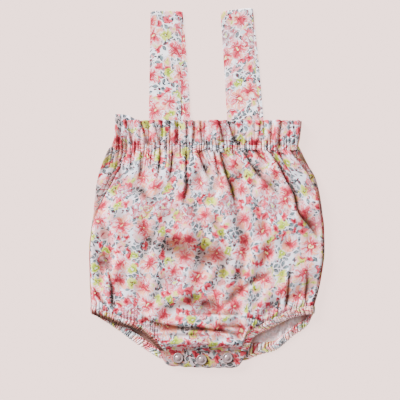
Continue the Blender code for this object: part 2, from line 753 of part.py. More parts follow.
def build_straps(material):
    """Both shoulder straps, each a strip doubled over at the shoulder."""
    tuck_back = WALL * 1.5 + SEAM
    tuck_front = tuck_back + WALL + SEAM
    lying = WALL / 2.0
    for strap in STRAPS:
        bend = strap.top - STRAP_FOLD_RADIUS
        upper = lying + 2.0 * STRAP_FOLD_RADIUS
        back = strap_half(strap, (
            (STRAP_FOOT, tuck_back), (66.0, tuck_back), (STRAP_LEAVES, tuck_back),
            (88.0, mix(tuck_back, lying, 0.5)), (95.0, lying),
            (130.0, lying), (165.0, lying), (bend - 6.0, lying),
        ), front=False)
        front = strap_half(strap, (
            (STRAP_FOOT, tuck_front), (66.0, tuck_front), (STRAP_LEAVES, tuck_front), (92.0, tuck_front - 0.5),
            (110.0, 2.6), (130.0, 2.3), (150.0, 2.7), (175.0, 2.4), (bend - 12.0, upper - 0.5),
            (bend - 5.0, upper),
        ), front=True)
        fold = []
        for turn in np.linspace(0.0, math.pi, STRAP_FOLD_STEPS):
            row = strap_half(strap, ((bend, lying),), front=turn > math.pi / 2.0)[0]
            row[:, 1] += STRAP_FOLD_RADIUS * math.sin(turn)
            row[:, 2] = lying + STRAP_FOLD_RADIUS * (1.0 - math.cos(turn))
            fold.append(row)
        strip(strap.name, back + fold + front[::-1], material)


def main():
    """Clear the scene and build every piece."""
    for item in list(bpy.data.objects):
        bpy.data.objects.remove(item)
    cloth = make_material("cloth_front", CLOTH)
    cloth_back = make_material("cloth_back", CLOTH_BACK)
    strap_cloth = make_material("cloth_strap", STRAP_CLOTH)
    band_cloth = make_material("cloth_band", BAND_CLOTH)
    plastic = make_material("snap_plastic", PLASTIC)
    build_front_panel(cloth)
    build_back_panel(cloth_back)
    build_header(cloth, cloth_back)
    build_casing(band_cloth)
    build_leg_bands(band_cloth)
    build_front_placket(cloth)
    build_back_placket(cloth_back)
    build_snaps(plastic)
    build_straps(strap_cloth)


main()
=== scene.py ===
"""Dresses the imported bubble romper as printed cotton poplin, laid flat, and sets up its studio.

Lengths in the tables are in millimetres, X across the garment, Y towards the straps and Z up from
the surface it lies on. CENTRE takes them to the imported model's own middle.
"""

import logging
import math
from dataclasses import dataclass
from enum import Enum
from typing import Callable, Mapping, Sequence

import bmesh
import bpy
import numpy as np
from bpy.types import ID, Material, Mesh, Node, NodeSocket, NodeTree, Object
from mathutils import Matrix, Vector


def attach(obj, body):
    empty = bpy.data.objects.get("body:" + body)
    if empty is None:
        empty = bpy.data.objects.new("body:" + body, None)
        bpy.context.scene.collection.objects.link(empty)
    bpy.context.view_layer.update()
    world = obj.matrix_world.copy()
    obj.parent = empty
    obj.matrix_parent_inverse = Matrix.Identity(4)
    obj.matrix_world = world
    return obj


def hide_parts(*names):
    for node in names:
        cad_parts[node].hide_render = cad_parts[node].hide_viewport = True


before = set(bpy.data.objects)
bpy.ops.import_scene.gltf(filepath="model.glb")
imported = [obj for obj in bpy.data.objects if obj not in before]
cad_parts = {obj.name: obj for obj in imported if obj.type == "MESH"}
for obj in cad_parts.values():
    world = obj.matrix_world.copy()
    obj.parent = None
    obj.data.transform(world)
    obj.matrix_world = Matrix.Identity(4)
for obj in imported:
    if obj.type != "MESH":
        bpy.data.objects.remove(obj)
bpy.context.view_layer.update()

log = logging.getLogger("romper")

Array = np.ndarray
Plan = tuple[float, float]

MM = 0.001
CENTRE = np.array((-0.750, -0.617, 0.0))

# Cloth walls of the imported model, and the thinner cloth that is shown
WALL = 1.2
BAND_WALL = 2.0
PLACKET_WALL = 1.6
CLOTH = 0.7

# Heights up the garment
HEADER_TOP = 79.8
HEADER_FOOT = 50.0
WAIST = 44.0
HEM_SIDE = -144.0
LEG_SIDE = -151.5
BAND_WIDTH = 7.5

# Shares of the hem: left leg, crotch, right leg
TAB_START = 0.36
TAB_END = 0.66


@dataclass(frozen=True)
class Half:
    """Front or back half of the garment.

    Attributes:
        facing: 1 where its outer face looks up, -1 where it looks down.
        cut_width: Width of its flat cut, in metres.
    """

    name: str
    facing: float
    print_width: float
    cut_width: float


FRONT = Half("front", facing=1.0, print_width=292.0, cut_width=0.34)
BACK = Half("back", facing=-1.0, print_width=310.0, cut_width=0.38)


# ---------- sums

def mix(start: Array | float, end: Array | float, share: Array | float) -> Array | float:
    """Value between two others."""
    return start + (end - start) * share


def ease(share: Array | float) -> Array | float:
    """Smooth step from 0 to 1."""
    share = np.clip(share, 0.0, 1.0)
    return share * share * (3.0 - 2.0 * share)


def bell(distance: Array, width: Array | float) -> Array:
    """Soft bump, 1 in the middle and nearly 0 at twice its width."""
    return np.exp(-(distance / width) ** 2)


def column(table: Sequence[object], name: str) -> list[float]:
    """One named column of a table."""
    return [getattr(row, name) for row in table]


def smooth(place: Array | float, places: Sequence[float], values: Sequence[float]) -> Array:
    """Monotone cubic through a table's values, so that it never overshoots them.

    Args:
        place: Where to read the curve.
        places: Rising positions of the table's rows.
        values: The rows' values.

    Returns:
        The curve's values, in the shape of place.
    """
    places, values = np.asarray(places, float), np.asarray(values, float)
    step = np.diff(places)
    slope = np.diff(values) / step
    before, after = slope[:-1], slope[1:]
    total = np.where(before * after > 0, before + after, 1.0)
    inner = np.where(before * after > 0, 2.0 * before * after / total, 0.0)
    tangent = np.concatenate(([slope[0]], inner, [slope[-1]]))
    place = np.clip(place, places[0], places[-1])
    span = np.clip(np.searchsorted(places, place, side="right") - 1, 0, len(step) - 1)
    share = (place - places[span]) / step[span]
    rise = values[span + 1] - values[span]
    start_pull = tangent[span] * step[span] - rise
    end_pull = rise - tangent[span + 1] * step[span]
    bend = share * (1.0 - share) * (start_pull * (1.0 - share) + end_pull * share)
    return values[span] + rise * share + bend


def blurred(values: Array, reach: int) -> Array:
    """Values averaged over a window along both axes of a grid."""
    kernel = np.hanning(2 * reach + 3)[1:-1]
    kernel = kernel / kernel.sum()
    padded = np.pad(values, reach, mode="edge")
    rows = np.apply_along_axis(np.convolve, 0, padded, kernel, mode="valid")
    return np.apply_along_axis(np.convolve, 1, rows, kernel, mode="valid")


def unit(vectors: Array) -> Array:
    """Vectors scaled to length one."""
    return vectors / np.maximum(np.linalg.norm(vectors, axis=-1, keepdims=True), 1e-9)


def travelled(x: Array, y: Array) -> Array:
    """Distance along a line of plan points, from its start."""
    return np.concatenate(([0.0], np.cumsum(np.hypot(np.diff(x), np.diff(y)))))


def run_length(points: Array, axis: int) -> Array:
    """Distance along each row or column of a grid of points, from its start."""
    steps = np.diff(points, axis=axis, prepend=np.take(points, [0], axis=axis))
    return np.cumsum(np.linalg.norm(steps, axis=-1), axis=axis)


# ---------- creases and gathers

FULL_SHADE = 9.0        # depth of a valley whose shade is full
CREST_SPREAD = 0.95     # reach of the raised side, in widths of the crease
VALLEY_SPREAD = 1.3     # reach of the sunk side, in widths
SHADE_SPREAD = 1.4      # reach of the shade in the valley, in widths
LINE_SHADE = 0.20       # shade of the line itself
LINE_WIDTH = 1.0
LEAN_REACH = 2.4        # how far from the line the crest leans over it
TUCK_REACH = 1.6        # how far from the line the valley is drawn under the crest
TUCK_SHARE = 0.3        # how much of the lean the valley takes


class Crest(Enum):
    """Side of a crease, looking from its start to its end, on which the cloth stands higher."""

    LEFT = 1.0
    RIGHT = -1.0
    BOTH = 0.0


@dataclass(frozen=True)
class Crease:
    """One fold line through a few points of the cloth.

    With a crest on one side the cloth laps over a valley along the line. With a crest on both
    sides it is a plain ridge or trough.

    Attributes:
        run: Points along the line.
        rise: Height of the crest.
        fall: Depth of the valley.
        width: Reach of the valley, sideways.
        crest: Which side stands higher.
        head: Share of the line over which it fades in.
        tail: Share of the line over which it fades out.
        lap: How far the crest leans over the valley.
        edge: Softness of the line itself.
    """

    run: tuple[Plan, ...]
    rise: float
    fall: float
    width: float
    crest: Crest = Crest.LEFT
    head: float = 0.1
    tail: float = 0.5
    lap: float = 0.9
    edge: float = 0.8

    def shift(self, x: Array, y: Array) -> Array:
        """Shift of the cloth in x, y and height at plan points, and the shade in its valley.

        Args:
            x: Plan places across.
            y: Plan places up the garment.

        Returns:
            Four arrays in the shape of x.
        """
        moved = np.zeros((4,) + x.shape)
        reach = 4.5 * self.width + 8.0
        px, py = np.array(self.run).T
        near = ((x > px.min() - reach) & (x < px.max() + reach)
                & (y > py.min() - reach) & (y < py.max() + reach))
        if not near.any():
            return moved
        share, aside, normal = self._measure(x[near], y[near])
        fade = ease(share / self.head) * ease((1.0 - share) / self.tail)
        if self.crest is Crest.BOTH:
            moved[2][near] = (self.rise - self.fall) * fade * bell(aside, self.width)
            moved[3][near] = self.fall / FULL_SHADE * fade * bell(aside, self.width)
            return moved
        beyond = aside * self.crest.value
        over = 1.0 / (1.0 + np.exp(np.clip(beyond / self.edge, -30.0, 30.0)))
        crest = self.rise * bell(beyond, CREST_SPREAD * self.width)
        valley = self.fall * bell(beyond, VALLEY_SPREAD * self.width)
        moved[2][near] = fade * (over * crest - (1.0 - over) * valley)
        lean, tuck = over * bell(beyond, LEAN_REACH), TUCK_SHARE * (1.0 - over) * bell(beyond, TUCK_REACH)
        push = fade * self.lap * (lean - tuck)
        moved[0][near] = push * normal[0] * self.crest.value
        moved[1][near] = push * normal[1] * self.crest.value
        dark = LINE_SHADE * bell(beyond, LINE_WIDTH) + (1.0 - over) * bell(beyond, SHADE_SPREAD * self.width)
        moved[3][near] = fade * self.fall / FULL_SHADE * dark
        return moved

    def _measure(self, x: Array, y: Array) -> tuple[Array, Array, tuple[Array, Array]]:
        """Where plan points lie beside the line.

        Args:
            x: Plan places across.
            y: Plan places up the garment.

        Returns:
            Share along the line, distance to its right, and the rightward direction.
        """
        px, py = np.array(self.run).T
        length = travelled(px, py)
        fine = np.linspace(0.0, length[-1], 8 * (len(px) - 1) + 1)
        fx, fy = smooth(fine, length, px), smooth(fine, length, py)
        best = np.full(x.shape, 1e9)
        share, aside = np.zeros_like(x), np.zeros_like(x)
        out_x, out_y = np.zeros_like(x), np.zeros_like(x)
        for index in range(len(fine) - 1):
            run_x, run_y = fx[index + 1] - fx[index], fy[index + 1] - fy[index]
            length = math.hypot(run_x, run_y)
            off_x, off_y = x - fx[index], y - fy[index]
            along = (off_x * run_x + off_y * run_y) / length ** 2
            first, last = index == 0, index == len(fine) - 2
            held = np.clip(along, -9.0 if first else 0.0, 9.0 if last else 1.0)
            gap = np.hypot(off_x - held * run_x, off_y - held * run_y)
            nearer = gap < best
            best = np.where(nearer, gap, best)
            right_x, right_y = run_y / length, -run_x / length
            share = np.where(nearer, (index + held) / (len(fine) - 1), share)
            signed = np.where(off_x * right_x + off_y * right_y < 0, -gap, gap)
            aside = np.where(nearer, signed, aside)
            out_x, out_y = np.where(nearer, right_x, out_x), np.where(nearer, right_y, out_y)
        return share, aside, (out_x, out_y)


def dent(run: tuple[Plan, ...], fall: float, width: float, head: float = 0.1, tail: float = 0.5) -> Crease:
    """Soft trough along a line."""
    return Crease(run, 0.0, fall, width, Crest.BOTH, head, tail)


def ridge(run: tuple[Plan, ...], rise: float, width: float, head: float = 0.1, tail: float = 0.5) -> Crease:
    """Soft ridge along a line."""
    return Crease(run, rise, 0.0, width, Crest.BOTH, head, tail)


@dataclass(frozen=True)
class Gathers:
    """Fine gathers drawn up by elastic or thread: round ridges between pinched grooves."""

    pitch: float
    height: float
    unevenness: float
    seed: int

    def wander(self, place: Array, scale: float, salt: int) -> Array:
        """Smooth unevenness between about -1 and 1 along a line.

        Args:
            place: Where along the line.
            scale: Usual length of a wave.
            salt: Picks one set of waves.

        Returns:
            The unevenness, in the shape of place.
        """
        random = np.random.default_rng(self.seed * 31 + salt)
        waves = zip(random.uniform(0.6, 2.4, 5), random.uniform(0.0, math.tau, 5))
        return sum(np.sin(math.tau * place / (scale * stretch) + turn) for stretch, turn in waves) / 2.6

    def at(self, place: Array) -> Array:
        """Height of the gathers at places along them."""
        turn = place / self.pitch + self.unevenness * self.wander(place, 4.0 * self.pitch, 1)
        ridge = np.abs(np.sin(math.pi * turn)) ** 0.8 - 0.5
        return self.height * (0.72 + 0.4 * self.wander(place, 6.0 * self.pitch, 2)) * ridge


@dataclass(frozen=True)
class Lean:
    """Which way the small waist gathers run: sideways step for each step down, at a place across."""

    x: float
    step: float


LEANS = (
    Lean(-120.0, -0.15), Lean(-60.0, -0.08), Lean(-28.0, 0.0),
    Lean(0.0, 0.40), Lean(40.0, 0.75), Lean(75.0, 0.85), Lean(115.0, 0.75),
)

RIGHT = Crest.RIGHT

# Folds of the front panel: line, rise, fall, width, side that stands higher, and how it fades and laps.
# The left side stands higher unless a row says RIGHT; the left of a line that runs down is the east.
BODY_CREASES = (
    # pleats out of the waist casing, from left to right
    Crease(((-104, 44), (-106, 22), (-107, 6)), 0.8, 1.6, 3.2, RIGHT),
    Crease(((-98, 44), (-112, 20), (-124, -4), (-132, -24)),
           0.7, 2.0, 1.5, RIGHT, head=0.3, tail=0.3, lap=0.4),
    Crease(((-92, 44), (-93, 26), (-95, 12)), 0.6, 1.4, 2.8, RIGHT),
    Crease(((-80, 44), (-82, 20), (-84, 2)), 1.0, 2.4, 4.0, RIGHT),
    Crease(((-68, 44), (-69, 30), (-71, 18)), 0.6, 1.6, 2.6, RIGHT),
    Crease(((-57, 44), (-60, 20), (-62, 0)), 0.8, 2.2, 3.4, RIGHT),
    Crease(((-43.8, 44), (-45, 25), (-48.2, -2)), 1.4, 3.2, 4.0, RIGHT, tail=0.6),
    Crease(((-27.1, 44), (-27.1, 5), (-31.8, -30)), 1.7, 3.0, 4.0, RIGHT, tail=0.45, lap=1.1),
    Crease(((-13.4, 44), (-6, 24), (4, 2)), 1.4, 3.4, 5.0, RIGHT),
    Crease(((5.9, 44), (9, 28), (15, 3)), 1.2, 3.0, 3.6, RIGHT),
    Crease(((12.8, 44), (20, 17), (28, -7), (34, -31)), 2.0, 5.0, 6.0, RIGHT, tail=0.4),
    Crease(((28, 44), (32, 33), (38, 22)), 0.8, 2.0, 2.6, RIGHT),
    Crease(((40.8, 44), (50.8, 26), (60.6, 12), (73.6, 0), (88, -20)),
           2.1, 4.2, 4.8, RIGHT, lap=1.1),
    Crease(((53.6, 44), (61, 36), (72, 26)), 1.4, 3.2, 3.4, RIGHT),
    Crease(((71.6, 43), (83.4, 26), (92.5, 8), (101.4, -9), (107, -31), (123.4, -51), (134, -66)),
           2.3, 4.4, 4.6, RIGHT, head=0.05, tail=0.18, lap=1.2),
    Crease(((82.9, 42), (91, 28), (102, 12)), 1.2, 2.8, 3.2, RIGHT),
    Crease(((97.0, 44), (105, 34), (114.4, 24.6), (125, 6)), 1.8, 3.8, 4.0, RIGHT, tail=0.4),
    # soft dents and swells of the belly, and a sharp little ridge
    dent(((-81, 4), (-74, -10), (-64, -27)), 2.8, 5.5, head=0.4),
    ridge(((-2, -37), (7, -49), (18, -64)), 1.1, 1.3, head=0.3, tail=0.4),
    dent(((-90, -50), (-56, -66), (-16, -78), (36, -89)), 4.8, 13.0, head=0.42, tail=0.18),
    dent(((-14, -143), (2, -141), (18, -139)), 4.6, 7.0, head=0.4, tail=0.4),
    ridge(((-30, -44), (0, -58), (30, -78)), 1.6, 8.0, head=0.4, tail=0.4),
    dent(((19, -88), (20, -108), (12, -130)), 2.0, 5.5, head=0.4, tail=0.4),
    dent(((-62, -146), (-30, -139), (0, -124)), 2.0, 6.0, head=0.4, tail=0.4),
    dent(((-140, -62), (-130, -84), (-121, -104)), 2.2, 6.0, head=0.3, tail=0.4),
    dent(((118, -20), (122, -52), (116, -84)), 1.4, 6.0, head=0.4, tail=0.4),
    ridge(((-92, -30), (-96, -60), (-88, -96)), 1.4, 12.0, head=0.4, tail=0.4),
    # gathers that run up from the legs
    Crease(((-115, -147), (-116.5, -118), (-121, -92), (-136, -68)), 1.2, 3.4, 3.8, tail=0.6),
    Crease(((-123, -144), (-130, -134), (-138, -120)), 1.0, 2.6, 3.0, head=0.2),
    Crease(((91.6, -146), (94.3, -118), (100, -84)), 1.6, 3.4, 3.4, tail=0.6),
    Crease(((82.8, -153), (83.3, -142), (84, -130)), 0.8, 2.2, 2.4, head=0.2),
    Crease(((115.4, -142), (116.6, -118), (118, -88)), 1.0, 2.6, 3.4, tail=0.6),
    # folds across the belly: the upper side sinks and the lower side turns up to the light
    Crease(((92, -92), (75, -105), (55, -115), (40, -126), (18, -144.5), (2, -152)),
           0.9, 2.8, 5.0, head=0.35, tail=0.3, lap=0.2, edge=1.3),
    Crease(((-24, -153), (0, -153), (22, -153.4), (44, -153)),
           1.7, 2.2, 4.0, RIGHT, head=0.45, tail=0.3, lap=1.2),
    Crease(((-80, -150), (-69, -158), (-51, -163.5), (-27, -166), (0, -168), (30, -169)),
           1.4, 4.0, 5.0, tail=0.35, lap=0.2, edge=1.3),
    Crease(((-66, -173.5), (-45, -172.2), (-21, -171.6), (9, -173.4), (29.4, -177), (42.6, -187)),
           2.4, 2.6, 3.4, RIGHT, head=0.2, tail=0.14, lap=0.4, edge=1.0),
    dent(((-64, -173), (-47, -175.4), (-10, -176.6), (12, -177.4)), 1.4, 2.6, head=0.3, tail=0.4),
    Crease(((44, -155), (60, -160), (72, -165)), 1.2, 2.0, 2.6, RIGHT, head=0.3, tail=0.4),
    Crease(((-8, -164), (20, -167.6), (46, -169)), 0.6, 1.8, 3.4, RIGHT, head=0.4, tail=0.3, lap=0.5),
    Crease(((39, -179), (49, -186), (56, -193)), 0.8, 1.8, 2.2, RIGHT, head=0.3, tail=0.3),
    Crease(((-30, -196), (-26, -188), (-20, -181)), 0.4, 1.2, 2.4, head=0.2),
    Crease(((10, -197), (12, -189), (17, -183)), 0.4, 1.4, 2.6, head=0.2),
)

# Ruffles of the header, from its foot to its top
HEADER_CREASES = (
    Crease(((-104, 50), (-104.5, 62), (-104, 84)), 0.6, 1.6, 2.4, head=0.3, tail=0.1),
    Crease(((-91.2, 47), (-94.7, 66), (-99, 84)), 1.2, 2.6, 3.4, head=0.2, tail=0.1),
    Crease(((-72.6, 46), (-77.4, 66), (-83.5, 84)), 2.0, 3.8, 4.0, head=0.15, tail=0.1, lap=1.2),
    Crease(((-58, 52), (-60.5, 60), (-66, 84)), 1.4, 2.8, 3.4, head=0.2, tail=0.1),
    Crease(((-51.8, 48), (-51, 62), (-49, 84)), 1.2, 2.6, 3.0, head=0.2, tail=0.15),
    Crease(((-38, 48), (-38.5, 62), (-40, 84)), 0.7, 1.8, 2.6, head=0.2, tail=0.2),
    Crease(((-25.8, 50), (-25.8, 66), (-26, 84)), 1.0, 2.4, 3.0, head=0.2, tail=0.15),
    Crease(((-17.6, 48), (-17.8, 62), (-17.8, 84)), 1.4, 3.0, 3.2, head=0.2, tail=0.1),
    Crease(((1.5, 46), (-8.6, 59), (-10, 84)), 1.3, 2.8, 3.2, head=0.15, tail=0.1),
    Crease(((18, 50), (16.3, 58), (11.5, 84)), 1.6, 3.4, 4.6, head=0.2, tail=0.1, lap=1.2),
    Crease(((38, 45), (29.2, 59), (22.5, 84)), 2.2, 4.4, 5.4, head=0.15, tail=0.1, lap=1.4),
    Crease(((46, 50), (44.5, 58), (43, 70)), 0.6, 1.6, 2.4, head=0.2),
    Crease(((59.6, 50), (60.4, 60), (62.8, 84)), 1.3, 2.8, 3.2, head=0.2, tail=0.15),
    Crease(((73, 48), (73, 58), (74, 72)), 0.6, 1.6, 2.4, head=0.2),
    Crease(((88, 44), (83.8, 55), (87, 84)), 1.6, 3.4, 3.6, head=0.15, tail=0.1, lap=1.1),
    Crease(((104.5, 50), (103.6, 60), (101, 84)), 1.0, 2.4, 3.0, head=0.2, tail=0.1),
)

# Soft folds of the back panel, which lies on the surface, so that they lift into the garment
BACK_CREASES = (
    ridge(((-84, 44), (-86, 18), (-90, -20)), 2.6, 3.4),
    ridge(((-52, 44), (-50, 12), (-55, -12)), 2.2, 3.0),
    ridge(((-22, 44), (-20, 10), (-14, -34)), 3.0, 3.8),
    ridge(((6, 44), (7, 20), (4, 0)), 2.0, 2.8),
    ridge(((31, 44), (34, 6), (42, -26)), 2.8, 3.6),
    ridge(((60, 44), (66, 16), (70, -6)), 2.2, 3.0),
    ridge(((86, 44), (92, 22), (96, 0)), 2.4, 3.2),
    ridge(((-96, -160), (-92, -132), (-97, -104)), 2.2, 3.0, head=0.05),
    ridge(((-62, -186), (-60, -158), (-52, -124)), 2.6, 3.4, head=0.05),
    ridge(((88, -190), (88.5, -166), (92, -140)), 3.4, 3.0, head=0.02, tail=0.4),
    ridge(((98, -182), (98, -160), (104, -138)), 3.0, 2.6, head=0.02, tail=0.4),
    ridge(((62, -192), (66, -176), (74, -160)), 1.8, 3.4, head=0.05),
    ridge(((112, -170), (110, -156), (112, -136)), 2.0, 2.4, head=0.05),
    ridge(((-30, -190), (0, -178), (34, -182)), 2.0, 4.0, head=0.4),
)

# Painted shade on the inside of the back panel, as seen through the leg openings
INNER_SHADES = (
    dent(((-142, -150), (-111, -168), (-81, -184), (-54, -204)), 8.6, 9.0, head=0.01, tail=0.01),
    dent(((129, -153), (109.8, -155), (72.6, -171), (57, -181), (52, -196)), 3.0, 2.6, head=0.01, tail=0.01),
    dent(((128, -153), (118, -158), (106, -160)), 3.0, 4.5),
    dent(((94, -157), (90, -165), (86, -174)), 1.6, 2.0, head=0.05, tail=0.6),
)


# ---------- the tube of cloth

@dataclass(frozen=True)
class Station:
    """Outline of the tube at one height, the radius of its side roll and the side seams' places."""

    y: float
    left: float
    right: float
    rim: float
    seam_left: float
    seam_right: float


# y, left, right, rim, seam_left, seam_right
STATIONS = (
    Station(-151.5, -139.4, 127.8, 4.2, 3.5, 4.5),
    Station(-144.0, -139.6, 128.0, 4.2, 3.5, 4.5),
    Station(-128.0, -140.2, 131.8, 4.3, 3.5, 4.8),
    Station(-112.0, -140.8, 135.4, 4.5, 3.5, 5.0),
    Station(-76.0, -141.5, 140.0, 4.6, 3.5, 5.0),
    Station(-47.0, -138.7, 139.4, 4.6, 3.8, 5.0),
    Station(-32.0, -136.4, 137.6, 4.6, 6.0, 5.0),
    Station(-11.0, -134.7, 134.6, 4.5, 14.0, 6.0),
    Station(11.0, -131.2, 129.0, 4.0, 22.0, 8.5),
    Station(25.0, -127.2, 121.0, 3.7, 25.0, 11.0),
    Station(44.0, -119.2, 111.6, 3.6, 26.0, 8.0),
    Station(50.0, -114.8, 109.0, 3.6, 22.0, 4.5),
    Station(58.0, -111.6, 110.4, 3.6, 18.0, 3.8),
    Station(80.0, -110.4, 112.8, 3.6, 15.0, 3.5),
)


@dataclass(frozen=True)
class Leg:
    """Edge of one half of a leg opening, from the side seam to the snap tab.

    The band's inner seam lies one band width from the edge, in a direction that turns from
    side_angle at the side seam to tab_angle at the tab.
    """

    points: tuple[Plan, ...]
    side_angle: float
    tab_angle: float

    def edge(self, share: Array) -> tuple[Array, Array]:
        """Point of the edge, from the side seam (0) to the tab (1)."""
        x, y = np.array(self.points).T
        length = travelled(x, y)
        place = share * length[-1]
        return smooth(place, length, x), smooth(place, length, y)

    def seam(self, share: Array) -> tuple[Array, Array]:
        """Point of the seam between the panel and the leg's band."""
        x, y = self.edge(share)
        angle = np.radians(mix(self.side_angle, self.tab_angle, share ** 1.5))
        return x + BAND_WIDTH * np.cos(angle), y + BAND_WIDTH * np.sin(angle)


Legs = tuple[Leg, Leg]

FRONT_LEGS = (
    Leg(((-139.4, -151.5), (-105.0, -165.6), (-82.0, -172.8), (-63.0, -189.0), (-57.0, -196.0)), 95.0, 0.0),
    Leg(((127.8, -151.5), (109.8, -153.8), (72.6, -170.4), (55.0, -179.5), (47.5, -196.5)), 87.0, 180.0),
)
BACK_LEGS = (
    Leg(((-139.4, -151.5), (-111.0, -169.6), (-81.0, -191.4), (-57.0, -206.4)), 95.0, 0.0),
    Leg(((127.8, -151.5), (119.8, -166.6), (101.0, -180.4), (84.0, -195.0), (60.0, -202.6), (47.0, -208.6)),
        87.0, 180.0),
)


@dataclass(frozen=True)
class Swell:
    """Height that the front stands above its side rolls, by the share of the way down to the hem."""

    down: float
    height: float


SWELLS = (
    Swell(0.00, 0.0), Swell(0.06, 4.8), Swell(0.16, 6.4),
    Swell(0.42, 8.0), Swell(0.82, 8.0), Swell(0.92, 7.2),
)


@dataclass(frozen=True)
class Tube:
    """Middle surface of the garment's tube of cloth, lying flat, with its folds.

    A place round the tube is a signed distance from its left side line: 0 to the length of a sheet
    runs under the garment, and 0 to minus that length runs over it. The way down a body runs from
    0 at the waist to 1 at the hem and on to 2 at the edge of the leg bands.

    Attributes:
        tab_edge, leg_edge: Shares of the width over which the hem falls to the tab, and gathers end.
        loose_from, loose_until: Shares of the way down over which the unevenness begins and ends.
        back_stretch, back_shift, back_lift: How the back's gathers differ from the front's.
    """

    puff_power: float = 0.6
    hem_puff: float = 0.25
    hem_tuck: float = 0.045
    hem_length: float = 310.0
    tab_level: float = 6.4
    tab_edge: float = 0.04
    leg_edge: float = 0.03
    leg_reach: float = 0.065
    header_flare: float = 2.4
    header_level: float = 10.2
    header_lean: float = 0.35
    header_rise: float = 30.0
    header_relief: float = 0.8
    ruffle_rise: float = 9.0
    casing_rise: float = 4.0
    peek_height: float = 8.0
    peek_reach: float = 24.0
    seam_groove: float = 0.7
    seam_width: float = 0.9
    relief: float = 0.95
    looseness: float = 1.8
    loose_from: float = 0.15
    loose_until: float = 0.12
    crease_end: float = 0.05
    lean_depth: float = 30.0
    gather_reach: float = 16.0
    gather_stray: float = 8.0
    gather_least: float = 6.0
    gather_above: float = 9.0
    fine_below: float = 5.0
    fine_above: float = 4.0
    back_stretch: float = 1.7
    back_shift: float = 31.0
    back_lift: float = 0.6
    waist_gathers: Gathers = Gathers(pitch=5.0, height=3.4, unevenness=0.6, seed=3)
    fine_gathers: Gathers = Gathers(pitch=3.3, height=2.4, unevenness=0.6, seed=8)
    ruffles: Gathers = Gathers(pitch=14.0, height=3.2, unevenness=0.6, seed=21)
    leg_gathers: Gathers = Gathers(pitch=4.3, height=2.6, unevenness=0.5, seed=5)

    @staticmethod
    def station(name: str, y: Array | float) -> Array:
        """A column of the stations table at any height."""
        return smooth(y, column(STATIONS, "y"), column(STATIONS, name))

    def length(self, y: Array | float) -> Array:
        """Length of one sheet from side to side along the cloth."""
        rim = self.station("rim", y)
        return self.station("right", y) - self.station("left", y) + (math.pi - 2.0) * rim

    def section(self, distance: Array, y: Array) -> tuple[Array, Array, Array]:
        """Cross section of a sheet and its side rolls.

        Args:
            distance: Distance along the cloth from the left side line.
            y: Height up the garment.

        Returns:
            Share of the width, lift up the roll and radius of the roll.
        """
        rim = self.station("rim", y)
        width = self.station("right", y) - self.station("left", y)
        left_offset, left_lift = self._roll(np.maximum(distance, 0.0), rim)
        right_offset, right_lift = self._roll(np.maximum(self.length(y) - distance, 0.0), rim)
        nearer_left = left_offset < right_offset
        across = np.where(nearer_left, left_offset / width, 1.0 - right_offset / width)
        return across, np.where(nearer_left, left_lift, right_lift), rim

    @staticmethod
    def _roll(distance: Array, rim: Array) -> tuple[Array, Array]:
        """Plan offset and lift of cloth that rolls up from the outermost line of the side."""
        quarter = rim * math.pi / 2.0
        angle = np.minimum(distance, quarter) / rim
        return rim * (1.0 - np.cos(angle)) + np.maximum(distance - quarter, 0.0), rim * np.sin(angle)

    @staticmethod
    def hem(legs: Legs, across: Array, seam: bool) -> tuple[Array, Array]:
        """Lower edge of a sheet: left leg, crotch, right leg.

        Args:
            legs: Its two leg openings.
            across: Share of the width.
            seam: Whether its seam with the leg bands is meant, and not their edge.

        Returns:
            Plan places across and up the garment.
        """
        curve = Leg.seam if seam else Leg.edge
        left = curve(legs[0], np.clip(across / TAB_START, 0.0, 1.0))
        right = curve(legs[1], np.clip((1.0 - across) / (1.0 - TAB_END), 0.0, 1.0))
        share = np.clip((across - TAB_START) / (TAB_END - TAB_START), 0.0, 1.0)
        return mix(left[0], right[0], share), mix(left[1], right[1], share)

    @staticmethod
    def at_tab(across: Array, edge: float) -> Array:
        """1 at the snap tab, falling to 0 over a share of the width on either side."""
        return ease((across - TAB_START) / edge + 1.0) * ease((TAB_END - across) / edge + 1.0)

    @staticmethod
    def side_height(down: Array) -> Array:
        """Height up the garment of the side roll, by the way down the body and its bands."""
        return np.where(down > 1.0, mix(HEM_SIDE, LEG_SIDE, down - 1.0), mix(WAIST, HEM_SIDE, down))

    def plan(self, legs: Legs, across: Array, down: Array) -> tuple[Array, Array]:
        """Plan place on a body sheet or on its leg bands.

        Args:
            legs: The sheet's two leg openings.
            across: Share of the width.
            down: Way down the body and its bands.

        Returns:
            Plan places across and up the garment.
        """
        across, down = np.broadcast_arrays(across, down)
        hem_x, hem_y = self.hem(legs, across, seam=True)
        edge_x, edge_y = self.hem(legs, across, seam=False)
        y = self.side_height(down)
        ends = self.hem(legs, np.array([0.0, 1.0]), seam=True)[0]
        left = self.station("left", y) - mix(self.station("left", WAIST), ends[0], down)
        right = self.station("right", y) - mix(self.station("right", WAIST), ends[1], down)
        body_x = mix(self.across(across, WAIST), hem_x, down) + (1.0 - across) * left + across * right
        on_band = down > 1.0
        x = np.where(on_band, mix(hem_x, edge_x, down - 1.0), body_x)
        return x, np.where(on_band, mix(hem_y, edge_y, down - 1.0), mix(WAIST, hem_y, down))

    def across(self, share: Array, y: Array | float) -> Array:
        """Plan place at a share of the width, at one height up the garment."""
        return mix(self.station("left", y), self.station("right", y), share)

    def seam_dip(self, distance: Array, y: Array) -> Array:
        """Small groove where the front and back panels are joined."""
        left = distance - self.station("seam_left", y)
        right = self.length(y) - self.station("seam_right", y) - distance
        return self.seam_groove * (bell(left, self.seam_width) + bell(right, self.seam_width))

